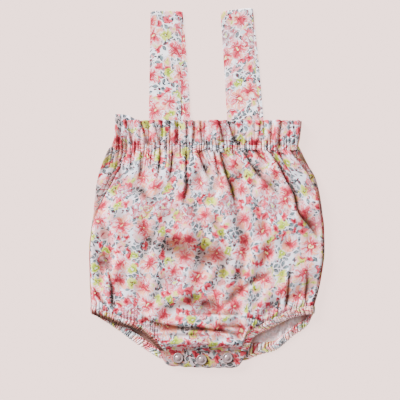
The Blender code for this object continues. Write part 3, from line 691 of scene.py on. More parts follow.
    def small_gathers(self, x: Array, y: Array) -> Array:
        """Fine gathers about the waist casing, and the header's ruffles.

        Args:
            x: Plan places across.
            y: Plan places up the garment.

        Returns:
            Their height.
        """
        below, above = np.maximum(WAIST - y, 0.0), np.maximum(y - HEADER_FOOT, 0.0)
        lean = smooth(x, column(LEANS, "x"), column(LEANS, "step"))
        place = x - lean * np.minimum(below, self.lean_depth)
        stray = self.gather_stray * self.waist_gathers.wander(place, 17.0, 5)
        reach = np.maximum(self.gather_reach + stray, self.gather_least)
        coarse = self.waist_gathers.at(place) * bell(below, reach) * bell(above, self.gather_above)
        fine = self.fine_gathers.at(place) * bell(below, self.fine_below) * bell(above, self.fine_above)
        return coarse + fine + self.ruffles.at(x) * ease(above / self.ruffle_rise)

    def undulation(self, x: Array, y: Array) -> Array:
        """Broad soft unevenness of cloth that lies loosely, the same all over the front.

        Each wave below has its scale in millimetres and the number that picks it.

        Args:
            x: Plan places across.
            y: Plan places up the garment.

        Returns:
            Its height.
        """
        wander = self.waist_gathers.wander
        swaying = x + 14.0 * wander(y, 70.0, 31)
        upright = wander(swaying, 30.0, 32) * (0.65 + 0.35 * wander(y, 90.0, 33))
        slanting = wander(0.55 * x - 0.83 * y + 8.0 * wander(x, 60.0, 34), 42.0, 35)
        return self.looseness * (upright + 0.8 * slanting)

    def body_top(self, distance: Array, down: Array) -> Array:
        """The front sheet and its bands.

        Args:
            distance: Distance along the cloth from its left side line.
            down: Way down the body and its bands.

        Returns:
            Points, with the shade in the folds as a fourth value.
        """
        side_y = self.side_height(down)
        across, lift, rim = self.section(distance, side_y)
        x, y = self.plan(FRONT_LEGS, across, down)
        settled = ease((1.0 - down) / self.hem_tuck)
        at_tab = self.at_tab(across, self.tab_edge) * (1.0 - settled)
        swell = smooth(down, column(SWELLS, "down"), column(SWELLS, "height"))
        arch = np.maximum(4.0 * across * (1.0 - across), 0.0) ** self.puff_power
        puff = swell * mix(self.hem_puff, 1.0, settled) * arch * (1.0 - ease(down - 1.0)) * (1.0 - at_tab)
        drop = at_tab * (WALL / 2.0 + 2.0 * rim - self.tab_level)
        legs = (1.0 - self.at_tab(across, self.leg_edge)) * np.clip(2.0 - down, 0.0, 1.0)
        gathers = self.leg_gathers.at(across * self.hem_length) * legs
        gathers = gathers * bell(1.0 - np.minimum(down, 1.0), self.leg_reach)
        loose = self.undulation(x, y) * ease(down / self.loose_from) * ease((1.0 - down) / self.loose_until)
        height = puff + gathers + loose - drop - self.seam_dip(distance, side_y)
        shown = np.clip((1.0 - down) / self.crease_end + 1.0, 0.0, 1.0)
        return self._raised(x, y, lift, rim, height, BODY_CREASES, shown)

    def body_bottom(self, distance: Array, down: Array, wall: float) -> Array:
        """The back sheet and its bands, lying on the surface between the rolls.

        Args:
            distance: Distance along the cloth from its left side line.
            down: Way down the body and its bands.
            wall: Thickness of the cloth.

        Returns:
            Points, with a fourth value of 0.
        """
        across, lift, rim = self.section(distance, self.side_height(down))
        x, y = self.plan(BACK_LEGS, across, down)
        height = mix(WALL / 2.0 + rim, wall / 2.0, lift / rim)
        for crease in BACK_CREASES:
            height = height + crease.shift(x, y)[2] * (lift / rim) ** 2 * np.clip(2.0 - down, 0.0, 1.0)
        return np.stack((x, y, height, np.zeros_like(x)), axis=-1)

    def upper_top(self, distance: Array, y: Array) -> Array:
        """The front casing and the front header.

        Args:
            distance: Distance along the cloth from the left side line.
            y: Height up the garment.

        Returns:
            Points, with the shade in the folds as a fourth value.
        """
        share, lift, rim = self.section(distance, y)
        height = self.header_flare * ease((y - HEADER_FOOT) / self.ruffle_rise) - self.seam_dip(distance, y)
        shown = ease((y - WAIST) / self.casing_rise) * self.header_relief
        points = self._raised(self.across(share, y), y, lift, rim, height, HEADER_CREASES, shown)
        lean = self.header_lean * ease((y - HEADER_FOOT) / self.header_rise)
        points[..., 1] += lean * (points[..., 2] - self.header_level)
        return points

    def _raised(self, x: Array, y: Array, lift: Array, rim: Array, height: Array,
                creases: Sequence[Crease], shown: Array) -> Array:
        """Surface above a side roll's lift, with creases and small gathers where it lies on top.

        Args:
            x: Plan places across.
            y: Plan places up the garment.
            lift: Lift up the side roll.
            rim: Radius of the side roll.
            height: Height above that.
            creases: Folds to add.
            shown: Strength of the folds.

        Returns:
            Points, with the shade in the folds as a fourth value.
        """
        x, y = np.broadcast_arrays(x, y)
        on_top = (lift / rim) ** 2
        moved = sum(crease.shift(x, y) for crease in creases) * (shown * on_top)
        height = self.relief * moved[2] + on_top * (height + self.small_gathers(x, y))
        return np.stack((x + moved[0], y + moved[1], WALL / 2.0 + rim + lift + height, moved[3]), axis=-1)

    def upper_bottom(self, distance: Array, y: Array) -> Array:
        """The back casing and the back header.

        Args:
            distance: Distance along the cloth from the left side line.
            y: Height up the garment.

        Returns:
            Points, with a fourth value of 0.
        """
        share, lift, rim = self.section(distance, y)
        x, y = np.broadcast_arrays(self.across(share, y), y)
        gathers = self.small_gathers(self.back_stretch * x - self.back_shift, y) + self.back_lift
        height = WALL / 2.0 + rim - lift + np.maximum(gathers, 0.0) * (lift / rim) ** 2
        return np.stack((x, y, height, np.zeros_like(x)), axis=-1)

    @staticmethod
    def round(top: Callable[[Array], Array], bottom: Callable[[Array], Array], length: Array,
              place: Array) -> Array:
        """Points at signed places round the tube.

        Args:
            top: Upper surface, by the distance along it.
            bottom: Lower surface.
            length: Length of either.
            place: Signed places.

        Returns:
            Points with a fourth value.
        """
        over = np.where(place < 0.0, -place, 2.0 * length - place)
        under = (place >= 0.0) & (place <= length)
        upper = top(np.where(under, 0.0, over))
        lower = bottom(np.clip(place, 0.0, length))
        return np.where(under[..., None], lower, upper)

    def body(self, place: Array, down: Array, wall: float = WALL) -> Array:
        """The body and its leg bands, all round."""
        length = self.length(self.side_height(down))
        return self.round(lambda at: self.body_top(at, down), lambda at: self.body_bottom(at, down, wall),
                          length, place)

    def upper(self, place: Array, y: Array) -> Array:
        """The casing and header, all round."""
        return self.round(lambda at: self.upper_top(at, y), lambda at: self.upper_bottom(at, y),
                          self.length(y), place)

    def raised_back(self, place: Array, y: Array) -> Array:
        """The back header, whose left end has been pulled up as it rolled to the front.

        Args:
            place: Signed places round the tube.
            y: Height up the garment.

        Returns:
            Points with a fourth value.
        """
        points = self.upper(place, y)
        raised = (y - HEADER_FOOT) / (HEADER_TOP - HEADER_FOOT)
        wing = ease(1.0 + np.minimum(place, 0.0) / self.station("seam_left", y))
        under = np.exp(-(np.maximum(place, 0.0) / self.peek_reach) ** 4)
        points[..., 1] += self.peek_height * raised * np.where(place < 0.0, wing, under)
        return points

    def ends(self, y: Array, half: Half) -> tuple[Array, Array]:
        """Distances of a sheet's seams from the left side line; both lie on top of the garment."""
        return (half.facing * self.station("seam_left", y),
                self.length(y) - half.facing * self.station("seam_right", y))

    def places(self, y: Array, half: Half, count: int) -> Array:
        """Signed places of a sheet's row, evenly from its left seam to its right seam."""
        first, last = self.ends(y, half)
        return -half.facing * mix(first, last, np.linspace(0.0, 1.0, count)[None, :])


# ---------- cloth meshes

# These judge the painted shade in folds, which darkens the cloth's colour
BROAD = 4               # how many times wider the broad folds are judged than the narrow ones
BROAD_DEPTH = 2.5       # and how many times deeper they must be for their painted shade to be full
SOFTENED = 6            # rows and columns over which folds are smoothed to measure along the cloth
INNER_SHADE = 0.3       # how much of the outer face's shade the inner face has


@dataclass
class ClothGrid:
    """Rows of points on a cloth's outer face, in millimetres, with what its finish needs.

    Attributes:
        points: Rows by columns by 3.
        flat: The cloth's own flat coordinates, rows by columns by 2.
        painted_shade: Painted shade at each point, 0 to 1, most where it lies deep in a fold.
        outward: 1 where cross(down, along) points out of the garment, else -1.
    """

    points: Array
    flat: Array
    painted_shade: Array
    outward: float

    @classmethod
    def laid(cls, middle: Array, wall: float, outward: float, width: float = 0.0,
             depth: float = 2.2, reach: int = 7) -> "ClothGrid":
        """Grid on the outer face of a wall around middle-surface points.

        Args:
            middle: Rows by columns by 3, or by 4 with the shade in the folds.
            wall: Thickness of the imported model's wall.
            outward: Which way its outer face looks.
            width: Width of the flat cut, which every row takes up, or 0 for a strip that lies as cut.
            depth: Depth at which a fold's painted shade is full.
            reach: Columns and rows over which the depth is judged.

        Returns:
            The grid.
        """
        shade = middle[..., 3] if middle.shape[-1] == 4 else 0.0
        middle = middle[..., :3]
        points = middle + cls.normals(middle, outward) * wall / 2.0
        height = points[..., 2]
        # Painted shade: darker where the face lies below its surroundings, over a narrow and a broad window,
        # added to the creases' own painted shade
        near = np.maximum((blurred(height, reach) - height) * outward / depth, 0.0)
        broad = np.maximum((blurred(height, BROAD * reach) - height) * outward / (BROAD_DEPTH * depth), 0.0)
        painted_shade = 1.0 - np.exp(-np.maximum(shade + near + broad, 0.0))
        return cls(points, cls.unrolled(points, width), painted_shade, outward)

    def joined(self, foot: float) -> float:
        """Slide the flat coordinates so the last row lies at foot; returns where the first one lies."""
        self.flat[..., 1] += foot - self.flat[-1, :, 1].mean()
        return float(self.flat[0, :, 1].mean())

    @staticmethod
    def normals(points: Array, outward: float) -> Array:
        """Outward directions of a grid."""
        return unit(outward * np.cross(np.gradient(points, axis=0), np.gradient(points, axis=1)))

    @staticmethod
    def softened(points: Array, reach: int) -> Array:
        """Points averaged over a window of the grid."""
        return np.stack([blurred(points[..., axis], reach) for axis in range(3)], -1)

    @classmethod
    def unrolled(cls, points: Array, width: float) -> Array:
        """The cloth's flat coordinates, measured along its rows and columns.

        Args:
            points: Rows by columns by 3.
            width: Width of the flat cut, which every row takes up, or 0 for a strip that lies as cut.

        Returns:
            Rows by columns by 2, across and up the cloth.
        """
        across = run_length(points, 1)
        if width:
            across = across / across[:, -1:] * width
            points = cls.softened(points, SOFTENED)
        return np.stack((across, -run_length(points, 0)), axis=-1)


class ClothMesher:
    """Builds closed, thin meshes from cloth grids."""

    @classmethod
    def build(cls, name: str, grid: ClothGrid, material: Material, thickness: float = CLOTH,
              coarse: int = 3, reverse: float = 1.0, inner_painted_shade: Array | None = None) -> Object:
        """Object with a fine outer face and a coarser inner face, joined round its rim.

        Args:
            name: Name of the piece.
            grid: Outer face.
            material: Finish of the whole piece.
            thickness: Distance between the faces.
            coarse: Inner points are every so many outer points; the grid's sides allow for it.
            reverse: 1 where the inner face shows the cloth's unprinted reverse, else 0.
            inner_painted_shade: Painted shade of the inner face, if it isn't a trace of the outer one's.

        Returns:
            The new object.
        """
        rows, columns = grid.points.shape[:2]
        soft = ClothGrid.softened(grid.points, coarse - 1) if coarse > 1 else grid.points
        inner = (grid.points - ClothGrid.normals(soft, grid.outward) * thickness)[::coarse, ::coarse]
        few_rows, few = inner.shape[:2]
        points = np.concatenate((grid.points.reshape(-1, 3), inner.reshape(-1, 3)))
        points[:, 2] = np.maximum(points[:, 2], 0.0)
        base = rows * columns
        faces = [(a, a + columns, a + columns + 1, a + 1) for a in cls._corners(rows, columns, 0)]
        faces += [(a, a + 1, a + few + 1, a + few) for a in cls._corners(few_rows, few, base)]
        outer_rim = cls._rim(rows, columns, 0)
        inner_rim = cls._rim(few_rows, few, base)
        for step, (start, end) in enumerate(zip(inner_rim, inner_rim[1:] + inner_rim[:1])):
            stretch = [outer_rim[(step * coarse + k) % len(outer_rim)] for k in range(coarse + 1)]
            faces.append((*stretch, end, start))
        flat = np.concatenate((grid.flat.reshape(-1, 2), grid.flat[::coarse, ::coarse].reshape(-1, 2)))
        if inner_painted_shade is None:
            inner_painted_shade = grid.painted_shade * INNER_SHADE
        painted_shade = np.concatenate((grid.painted_shade.ravel(), inner_painted_shade[::coarse, ::coarse].ravel()))
        inside = np.concatenate((np.zeros(base), np.full(few_rows * few, reverse)))
        return cls._made(name, points, faces, flat, {"painted_shade": painted_shade, "reverse": inside}, material)

    @classmethod
    def build_loop(cls, name: str, rows: Array, flat: Array, painted_shade: Array,
                   material: Material) -> Object:
        """Closed sleeve whose rows run once round it, capped at both ends.

        Args:
            name: Name of the piece.
            rows: Rows by columns by 3, without a repeat of the first row.
            flat: The cloth's flat coordinates, with one more row.
            painted_shade: Painted shade at each point, with one more row.
            material: Finish of the whole piece.

        Returns:
            The new object.
        """
        count, columns = rows.shape[:2]
        faces = []
        for row in range(count):
            here, after = row * columns, (row + 1) % count * columns
            faces += [(here + k, after + k, after + k + 1, here + k + 1) for k in range(columns - 1)]
        faces.append(tuple(row * columns for row in range(count)))
        faces.append(tuple(row * columns + columns - 1 for row in reversed(range(count))))
        values = {"painted_shade": painted_shade[:-1].ravel(), "reverse": np.zeros(count * columns)}
        return cls._made(name, rows.reshape(-1, 3), faces, flat[:-1].reshape(-1, 2), values, material)

    @classmethod
    def _made(cls, name: str, points: Array, faces: list[tuple[int, ...]], flat: Array,
              values: Mapping[str, Array], material: Material) -> Object:
        """Object from points, its faces turned outwards and shaded smooth.

        Args:
            name: Name of the piece.
            points: Its points, in millimetres.
            faces: Indices of each face's points.
            flat: The points' flat coordinates, written as a UV map in metres.
            values: Named values at the points.
            material: Finish of the whole piece.

        Returns:
            The new object.
        """
        mesh = bpy.data.meshes.new(name)
        mesh.from_pydata(((points - CENTRE) * MM).tolist(), [], faces)
        bm = bmesh.new()
        bm.from_mesh(mesh)
        finish_mesh(bm, mesh, material)
        corners = np.empty(len(mesh.loops), dtype=np.int32)
        mesh.loops.foreach_get("vertex_index", corners)
        layer = mesh.uv_layers.new(name="cloth")
        layer.data.foreach_set("uv", (flat[corners] * MM).astype(np.float32).ravel())
        for key, value in values.items():
            made = mesh.attributes.new(key, "FLOAT", "POINT")
            made.data.foreach_set("value", value.astype(np.float32))
        log.info("%s: %d faces", name, len(mesh.polygons))
        return placed(name, mesh)

    @staticmethod
    def _corners(rows: int, columns: int, base: int) -> list[int]:
        """Index of each grid cell's first corner."""
        return [base + row * columns + place for row in range(rows - 1) for place in range(columns - 1)]

    @staticmethod
    def _rim(rows: int, columns: int, base: int) -> list[int]:
        """Indices once round the edge of a grid."""
        rim = list(range(columns))
        rim += [row * columns + columns - 1 for row in range(1, rows)]
        rim += [(rows - 1) * columns + place for place in range(columns - 2, -1, -1)]
        rim += [row * columns for row in range(rows - 2, 0, -1)]
        return [base + index for index in rim]


def placed(name: str, data: ID) -> Object:
    """New object at the origin, in the scene."""
    made = bpy.data.objects.new(name, data)
    bpy.context.scene.collection.objects.link(made)
    return made


def finish_mesh(bm: bmesh.types.BMesh, mesh: Mesh, material: Material) -> None:
    """Turn every face outwards, shade it smooth and give it its finish.

    Args:
        bm: The shape, which is freed.
        mesh: Mesh that takes it.
        material: Finish of the whole mesh.
    """
    bmesh.ops.recalc_face_normals(bm, faces=bm.faces)
    bm.to_mesh(mesh)
    bm.free()
    mesh.shade_smooth()
    mesh.materials.append(material)


# ---------- shader sums

Colour = tuple[float, float, float]


class Number:
    """A number in a node tree, with ordinary arithmetic on it."""

    def __init__(self, board: "Board", socket: NodeSocket) -> None:
        """Wrap an output socket."""
        self.board = board
        self.socket = socket

    def sum(self, operation: str, *others: "Number | float") -> "Number":
        """Result of a Math node on this number and others, named by its operation."""
        node = self.board.node("ShaderNodeMath", {"operation": operation}, dict(enumerate((self, *others))))
        return Number(self.board, node.outputs[0])

    def flipped(self, operation: str, other: float) -> "Number":
        """Result of a Math node whose first input is a plain value."""
        node = self.board.node("ShaderNodeMath", {"operation": operation}, {0: other, 1: self})
        return Number(self.board, node.outputs[0])

    def __add__(self, other: "Number | float") -> "Number":
        """Sum."""
        return self.sum("ADD", other)

    __radd__ = __add__

    def __sub__(self, other: "Number | float") -> "Number":
        """Difference."""
        return self.sum("SUBTRACT", other)

    def __rsub__(self, other: float) -> "Number":
        """Plain value less this number."""
        return self.flipped("SUBTRACT", other)

    def __mul__(self, other: "Number | float") -> "Number":
        """Product."""
        return self.sum("MULTIPLY", other)

    __rmul__ = __mul__

    def __truediv__(self, other: "Number | float") -> "Number":
        """Quotient."""
        return self.sum("DIVIDE", other)

    def __pow__(self, other: float) -> "Number":
        """Power."""
        return self.sum("POWER", other)

    def step(self, low: "Number | float", high: "Number | float") -> "Number":
        """Smooth step from 0 at low to 1 at high, which may be the lesser."""
        node = self.board.node("ShaderNodeMapRange", {"interpolation_type": "SMOOTHSTEP"},
                               {"Value": self, "From Min": low, "From Max": high})
        return Number(self.board, node.outputs[0])

    def over(self, level: float) -> "Number":
        """1 where this number is above a level, else 0, with a hardly soft edge."""
        return self.step(level, level + 0.02)


Value = Number | NodeSocket | float | Colour | tuple[float, ...]


class Board:
    """A node tree and the one way nodes are put on it."""

    def __init__(self, tree: NodeTree) -> None:
        """Clear the tree."""
        self.tree = tree
        self.tree.nodes.clear()

    @classmethod
    def on(cls, material: Material) -> "Board":
        """Board of a material."""
        material.use_nodes = True
        return cls(material.node_tree)

    def node(self, kind: str, settings: Mapping[str, object] | None = None,
             sockets: Mapping[str | int, Value] | None = None) -> Node:
        """Add a node.

        Args:
            kind: Its type.
            settings: What it does, set first.
            sockets: Values or links of its inputs, by name or number.

        Returns:
            The node.
        """
        made = self.tree.nodes.new(kind)
        for name, value in (settings or {}).items():
            setattr(made, name, value)
        for name, value in (sockets or {}).items():
            if isinstance(value, Number):
                value = value.socket
            if isinstance(value, NodeSocket):
                self.tree.links.new(value, made.inputs[name])
            else:
                made.inputs[name].default_value = value
        return made

    def attribute(self, name: str) -> Number:
        """A value written on the mesh's points."""
        return Number(self, self.node("ShaderNodeAttribute", {"attribute_name": name}).outputs["Fac"])

    def mixed(self, share: Number | float, first: Value, second: Value,
              blend: str = "MIX") -> NodeSocket:
        """Colour between two others.

        Args:
            share: How far towards the second.
            first: A colour or a socket.
            second: Another.
            blend: How they are put together.

        Returns:
            The colour's socket.
        """
        first, second = ((*value, 1.0) if isinstance(value, tuple) else value for value in (first, second))
        node = self.node("ShaderNodeMix", {"data_type": "RGBA", "blend_type": blend, "clamp_factor": True},
                         {0: share, 6: first, 7: second})
        return node.outputs[2]

    def vector(self, operation: str, first: Value, second: Value) -> NodeSocket:
        """Result of a Vector Math node."""
        return self.node("ShaderNodeVectorMath", {"operation": operation}, {0: first, 1: second}).outputs[0]

    def split(self, vector: NodeSocket) -> tuple[Number, Number, Number]:
        """The three numbers of a vector."""
        node = self.node("ShaderNodeSeparateXYZ", None, {0: vector})
        return Number(self, node.outputs[0]), Number(self, node.outputs[1]), Number(self, node.outputs[2])

    def noise(self, where: NodeSocket, scale: float, detail: float = 1.0,
              dimensions: str = "2D") -> Number:
        """Soft noise about 0.5 at a place, with detail finer layers."""
        node = self.node("ShaderNodeTexNoise", {"noise_dimensions": dimensions},
                         {"Vector": where, "Scale": scale, "Detail": detail})
        return Number(self, node.outputs[0])

    def dressed(self, sockets: Mapping[str, Value]) -> None:
        """End a material's tree in a Principled surface with these inputs."""
        shader = self.node("ShaderNodeBsdfPrincipled", None, sockets)
        self.node("ShaderNodeOutputMaterial", None, {0: shader.outputs[0]})


# ---------- finishes

@dataclass
class Spot:
    """Place within the nearest motif of one scattered layer of the print.

    Attributes:
        ray: Point on a unit circle towards the place, moved by the motif.
    """

    x: Number
    y: Number
    radius: Number
    angle: Number
    first: Number
    second: Number
    ray: NodeSocket


@dataclass(frozen=True)
class PrintColours:
    """Dyes of the floral print and the cloth under them, and the colour of the painted shade in folds."""

    ground: Colour = (0.80, 0.745, 0.87)
    ground_tint: Colour = (0.56, 0.64, 0.74)
    peach: Colour = (0.90, 0.36, 0.25)
    blush: Colour = (0.84, 0.46, 0.50)
    pink: Colour = (0.70, 0.075, 0.12)
    coral: Colour = (0.44, 0.010, 0.045)
    red: Colour = (0.22, 0.003, 0.014)
    cream: Colour = (0.95, 0.80, 0.38)
    lime: Colour = (0.36, 0.47, 0.006)
    lime_pale: Colour = (0.62, 0.66, 0.12)
    green: Colour = (0.09, 0.17, 0.006)
    leaf: Colour = (0.175, 0.245, 0.28)
    leaf_mid: Colour = (0.095, 0.128, 0.152)
    leaf_dark: Colour = (0.026, 0.034, 0.042)
    slate: Colour = (0.022, 0.026, 0.036)
    maroon: Colour = (0.105, 0.006, 0.016)
    # colour towards which the painted shade in folds darkens the cloth
    shade: Colour = (0.15, 0.078, 0.058)
    reverse: Colour = (1.0, 0.76, 0.79)


@dataclass(frozen=True)
class Scatter:
    """Layout of one layer of motifs."""

    spacing: float
    jitter: float
    salt: float


@dataclass(frozen=True)
class Spray:
    """One layer of leaf sprays."""

    layout: Scatter
    leaves: int
    reach: float
    half: float
    wide: float
    missing: float


SPRAYS = (
    Spray(Scatter(22.5, 0.75, 2.0), leaves=6, reach=6.4, half=4.5, wide=2.4, missing=0.10),
    Spray(Scatter(20.5, 0.75, 3.0), leaves=5, reach=5.6, half=4.1, wide=2.3, missing=0.12),
    Spray(Scatter(18.5, 0.75, 8.0), leaves=5, reach=5.0, half=3.7, wide=2.1, missing=0.25),
)


@dataclass(frozen=True)
class FloralPoplin:
    """Cotton poplin with a scattered watercolour print of small flowers.

    Attributes:
        offset: Where in the cloth it is cut.
        sway: How far the watercolour's edges wander, in millimetres.
    """

    name: str
    colours: PrintColours = PrintColours()
    offset: Plan = (0.0, 0.0)
    roughness: float = 0.82
    reverse_share: float = 0.65
    sway: float = 8.0
    discs: Scatter = Scatter(19.0, 0.9, 1.0)
    buds: Scatter = Scatter(5.5, 1.0, 4.0)
    blossoms: Scatter = Scatter(11.5, 1.0, 5.0)
    limes: Scatter = Scatter(27.5, 0.95, 6.0)
    flowers: Scatter = Scatter(29.5, 0.9, 7.0)

    def material(self) -> Material:
        """The finished material."""
        made = bpy.data.materials.new(self.name)
        board = Board.on(made)
        uv = board.node("ShaderNodeUVMap", {"uv_map": "cloth"}).outputs[0]
        scaled = board.vector("MULTIPLY", uv, (1000.0, 1000.0, 0.0))
        even = board.vector("ADD", scaled, (self.offset[0] + 2000.0, self.offset[1] + 2000.0, 0.0))
        sway = board.node("ShaderNodeTexNoise", {"noise_dimensions": "2D"}, {
            "Vector": even, "Scale": 0.16, "Detail": 1.0}).outputs["Color"]
        sway = board.vector("SUBTRACT", sway, (0.5, 0.5, 0.5))
        place = board.vector("ADD", even, board.vector("MULTIPLY", sway, (self.sway, self.sway, 0.0)))
        wash = board.noise(place, 0.11, 2.0)
        edge = board.noise(place, 0.55, 1.0)
        colour = board.mixed(wash.step(0.45, 0.72), self.colours.ground, self.colours.ground_tint)
        for layer, where in ((self._leaves, even), (self._buds, even), (self._pale_discs, place),
                             (self._blossoms, place), (self._limes, place), (self._flowers, place)):
            colour = layer(board, where, colour, edge)
        colour = board.mixed(board.attribute("reverse") * self.reverse_share, colour, self.colours.reverse)
        # Painted shade: the colour is multiplied by the shade colour raised to the painted shade at each
        # point
        painted_shade = board.attribute("painted_shade")
        dim = {index: painted_shade.flipped("POWER", part) for index, part in enumerate(self.colours.shade)}
        shade = board.node("ShaderNodeCombineColor", None, dim).outputs[0]
        bump = board.node("ShaderNodeBump", None, {
            "Strength": 0.12, "Distance": 0.0002, "Height": board.noise(scaled, 2.4, 2.0)})
        board.dressed({
            "Base Color": board.mixed(1.0, colour, shade, "MULTIPLY"), "Roughness": self.roughness,
            "Specular IOR Level": 0.25, "Sheen Weight": 0.08, "Normal": bump.outputs[0]})
        return made

    @staticmethod
    def _spot(board: Board, place: NodeSocket, layout: Scatter) -> Spot:
        """Scatter one layer of motifs.

        Args:
            board: Where the nodes go.
            place: The cloth's flat place, in millimetres.
            layout: Where the motifs are.

        Returns:
            The place within the nearest motif.
        """
        cell = board.vector("MULTIPLY", place, (1.0 / layout.spacing,) * 3)
        cell = board.vector("ADD", cell, (layout.salt * 7.31, layout.salt * 3.17, 0.0))
        voronoi = board.node("ShaderNodeTexVoronoi", {"voronoi_dimensions": "2D"},
                             {"Vector": cell, "Scale": 1.0, "Randomness": layout.jitter})
        chances = voronoi.outputs["Color"]
        local = board.vector("SUBTRACT", cell, voronoi.outputs["Position"])
        local = board.vector("MULTIPLY", local, (layout.spacing,) * 3)
        first, second, third = board.split(chances)
        turned = board.node("ShaderNodeVectorRotate", {"rotation_type": "Z_AXIS"},
                            {"Vector": local, "Angle": third * math.tau}).outputs[0]
        x, y, _ = board.split(turned)
        radius = (x * x + y * y) ** 0.5
        ray = board.node("ShaderNodeVectorMath", {"operation": "NORMALIZE"}, {0: turned}).outputs[0]
        ray = board.vector("ADD", ray, board.vector("MULTIPLY", chances, (40.0, 40.0, 40.0)))
        return Spot(x, y, radius, y.sum("ARCTAN2", x), first, second, ray)

    @staticmethod
    def _petals(spot: Spot, count: int, reach: Number | float, notch: float, edge: Number,
                point: float = 0.5) -> Number:
        """Distance inside a flower's watery edge; the cuts between its petals are a notch of its reach."""
        lobes = (spot.angle * (count / 2.0)).sum("COSINE").sum("ABSOLUTE") ** point
        return (1.0 - notch + notch * lobes) * (0.70 + 0.60 * edge) * reach - spot.radius

    def _pale_discs(self, board: Board, place: NodeSocket, under: Value, edge: Number) -> Value:
        """Watery peach flowers with a little green eye."""
        spot = self._spot(board, place, self.discs)
        inside = self._petals(spot, 7, 4.6 + 2.0 * spot.second, 0.16, edge)
        shown = spot.first.over(0.25)
        wash = board.mixed(spot.second, self.colours.peach, self.colours.blush)
        colour = board.mixed(inside.step(-0.7, 0.9) * shown * 0.9, under, wash)
        eye = spot.radius.step(3.2, 2.0) * shown
        colour = board.mixed(eye * 0.8, colour, self.colours.lime_pale)
        ring = (spot.radius - 1.3).sum("ABSOLUTE").step(0.5, 0.2) * shown * edge.step(0.35, 0.6)
        return board.mixed(ring * 0.8, colour, self.colours.green)

    def _leaves(self, board: Board, place: NodeSocket, under: Value, edge: Number) -> Value:
        """Sprays of grey leaves, each darker along one side, some with a pale vein."""
        colours = self.colours
        colour = under
        for spray in SPRAYS:
            sector = math.tau / spray.leaves
            spot = self._spot(board, place, spray.layout)
            which = (spot.angle / sector).sum("ROUND")
            aside = spot.angle - which * sector
            leaf = board.node("ShaderNodeCombineXYZ", None, {0: which, 1: spot.first * 50.0}).outputs[0]
            chance = board.node("ShaderNodeTexWhiteNoise", {"noise_dimensions": "2D"}, {"Vector": leaf})
            shown = Number(board, chance.outputs[0]).over(spray.missing)
            depth = board.split(chance.outputs[1])[0]
            along = (spot.radius * aside.sum("COSINE") - spray.reach) / spray.half
            off = spot.radius * aside.sum("SINE") + 0.5 * (edge - 0.5)
            almond = 1.0 - along * along - off.sum("ABSOLUTE") / spray.wide
            tip = spray.reach + spray.half
            wash = (spot.radius + 4.0 * edge).step(tip + 3.5, spray.reach) * spot.second.step(0.35, 0.65)
            colour = board.mixed(wash * 0.40, colour, colours.ground_tint)
            colour = board.mixed(almond.step(-0.60, -0.30) * shown * 0.85, colour, colours.ground)
            tone = board.mixed(depth.step(0.35, 0.65), colours.leaf, colours.leaf_mid)
            colour = board.mixed(almond.step(-0.08, 0.14) * shown * (0.75 + 0.4 * edge), colour, tone)
            line = almond.step(-0.12, 0.06) * almond.step(0.56, 0.28) * (off + 1.2 * depth).step(-0.1, 0.7)
            vein = off.sum("ABSOLUTE").step(0.45, 0.15) * along.step(0.4, 0.1) * along.step(-1.1, -0.9)
            ink = (line + vein * depth.step(0.6, 0.4)) * shown
            colour = board.mixed(ink * 0.92, colour, colours.leaf_dark)
        return colour

    def _buds(self, board: Board, place: NodeSocket, under: Value, edge: Number) -> Value:
        """Small dark buds and strokes."""
        spot = self._spot(board, place, self.buds)
        oval = (spot.x / 2.0) ** 2.0 + (spot.y / 1.0) ** 2.0
        shown = spot.first.over(0.40)
        ink = board.mixed(spot.second.over(0.34), self.colours.slate, self.colours.maroon)
        return board.mixed(oval.step(1.2, 0.6) * shown * (0.5 + edge), under, ink)

    def _blossoms(self, board: Board, place: NodeSocket, under: Value, edge: Number) -> Value:
        """Small coral blossoms."""
        spot = self._spot(board, place, self.blossoms)
        rays = board.noise(spot.ray, 3.0, 1.0, "3D")
        inside = self._petals(spot, 5, 2.2 + 2.4 * spot.second + 2.2 * rays, 0.5, edge)
        shown = spot.first.over(0.28)
        dye = board.mixed((spot.radius / 4.5 + rays).step(0.65, 1.25), self.colours.coral, self.colours.pink)
        dye = board.mixed(spot.first.over(0.80) * 0.7, dye, self.colours.blush)
        colour = board.mixed(inside.step(-0.4, 0.5) * shown, under, dye)
        return board.mixed((spot.radius + 4.0 * rays).step(4.0, 2.6) * shown * 0.9, colour, self.colours.red)

    def _limes(self, board: Board, place: NodeSocket, under: Value, edge: Number) -> Value:
        """Round lime flowers with a green ring; some carry red stamens."""
        spot = self._spot(board, place, self.limes)
        inside = self._petals(spot, 6, 5.0 + 2.2 * spot.second, 0.20, edge)
        shown = spot.first.over(0.20)
        outer = (spot.radius + 3.0 * edge).step(3.0, 7.5)
        pale = board.mixed(outer, self.colours.lime, self.colours.lime_pale)
        colour = board.mixed(inside.step(-0.3, 0.7) * shown * 0.95, under, pale)
        ring = (spot.radius - 2.3).sum("ABSOLUTE").step(1.3, 0.3) * edge.step(0.40, 0.62) * shown
        colour = board.mixed(ring * 0.85, colour, self.colours.green)
        colour = board.mixed(spot.radius.step(1.1, 0.5) * shown * 0.8, colour, self.colours.ground)
        rays = (spot.angle * 1.5).sum("COSINE").sum("ABSOLUTE")
        stamens = rays.step(0.86, 0.97) * spot.radius.step(4.6, 3.4)
        return board.mixed(stamens * shown * spot.second.over(0.60), colour, self.colours.maroon)

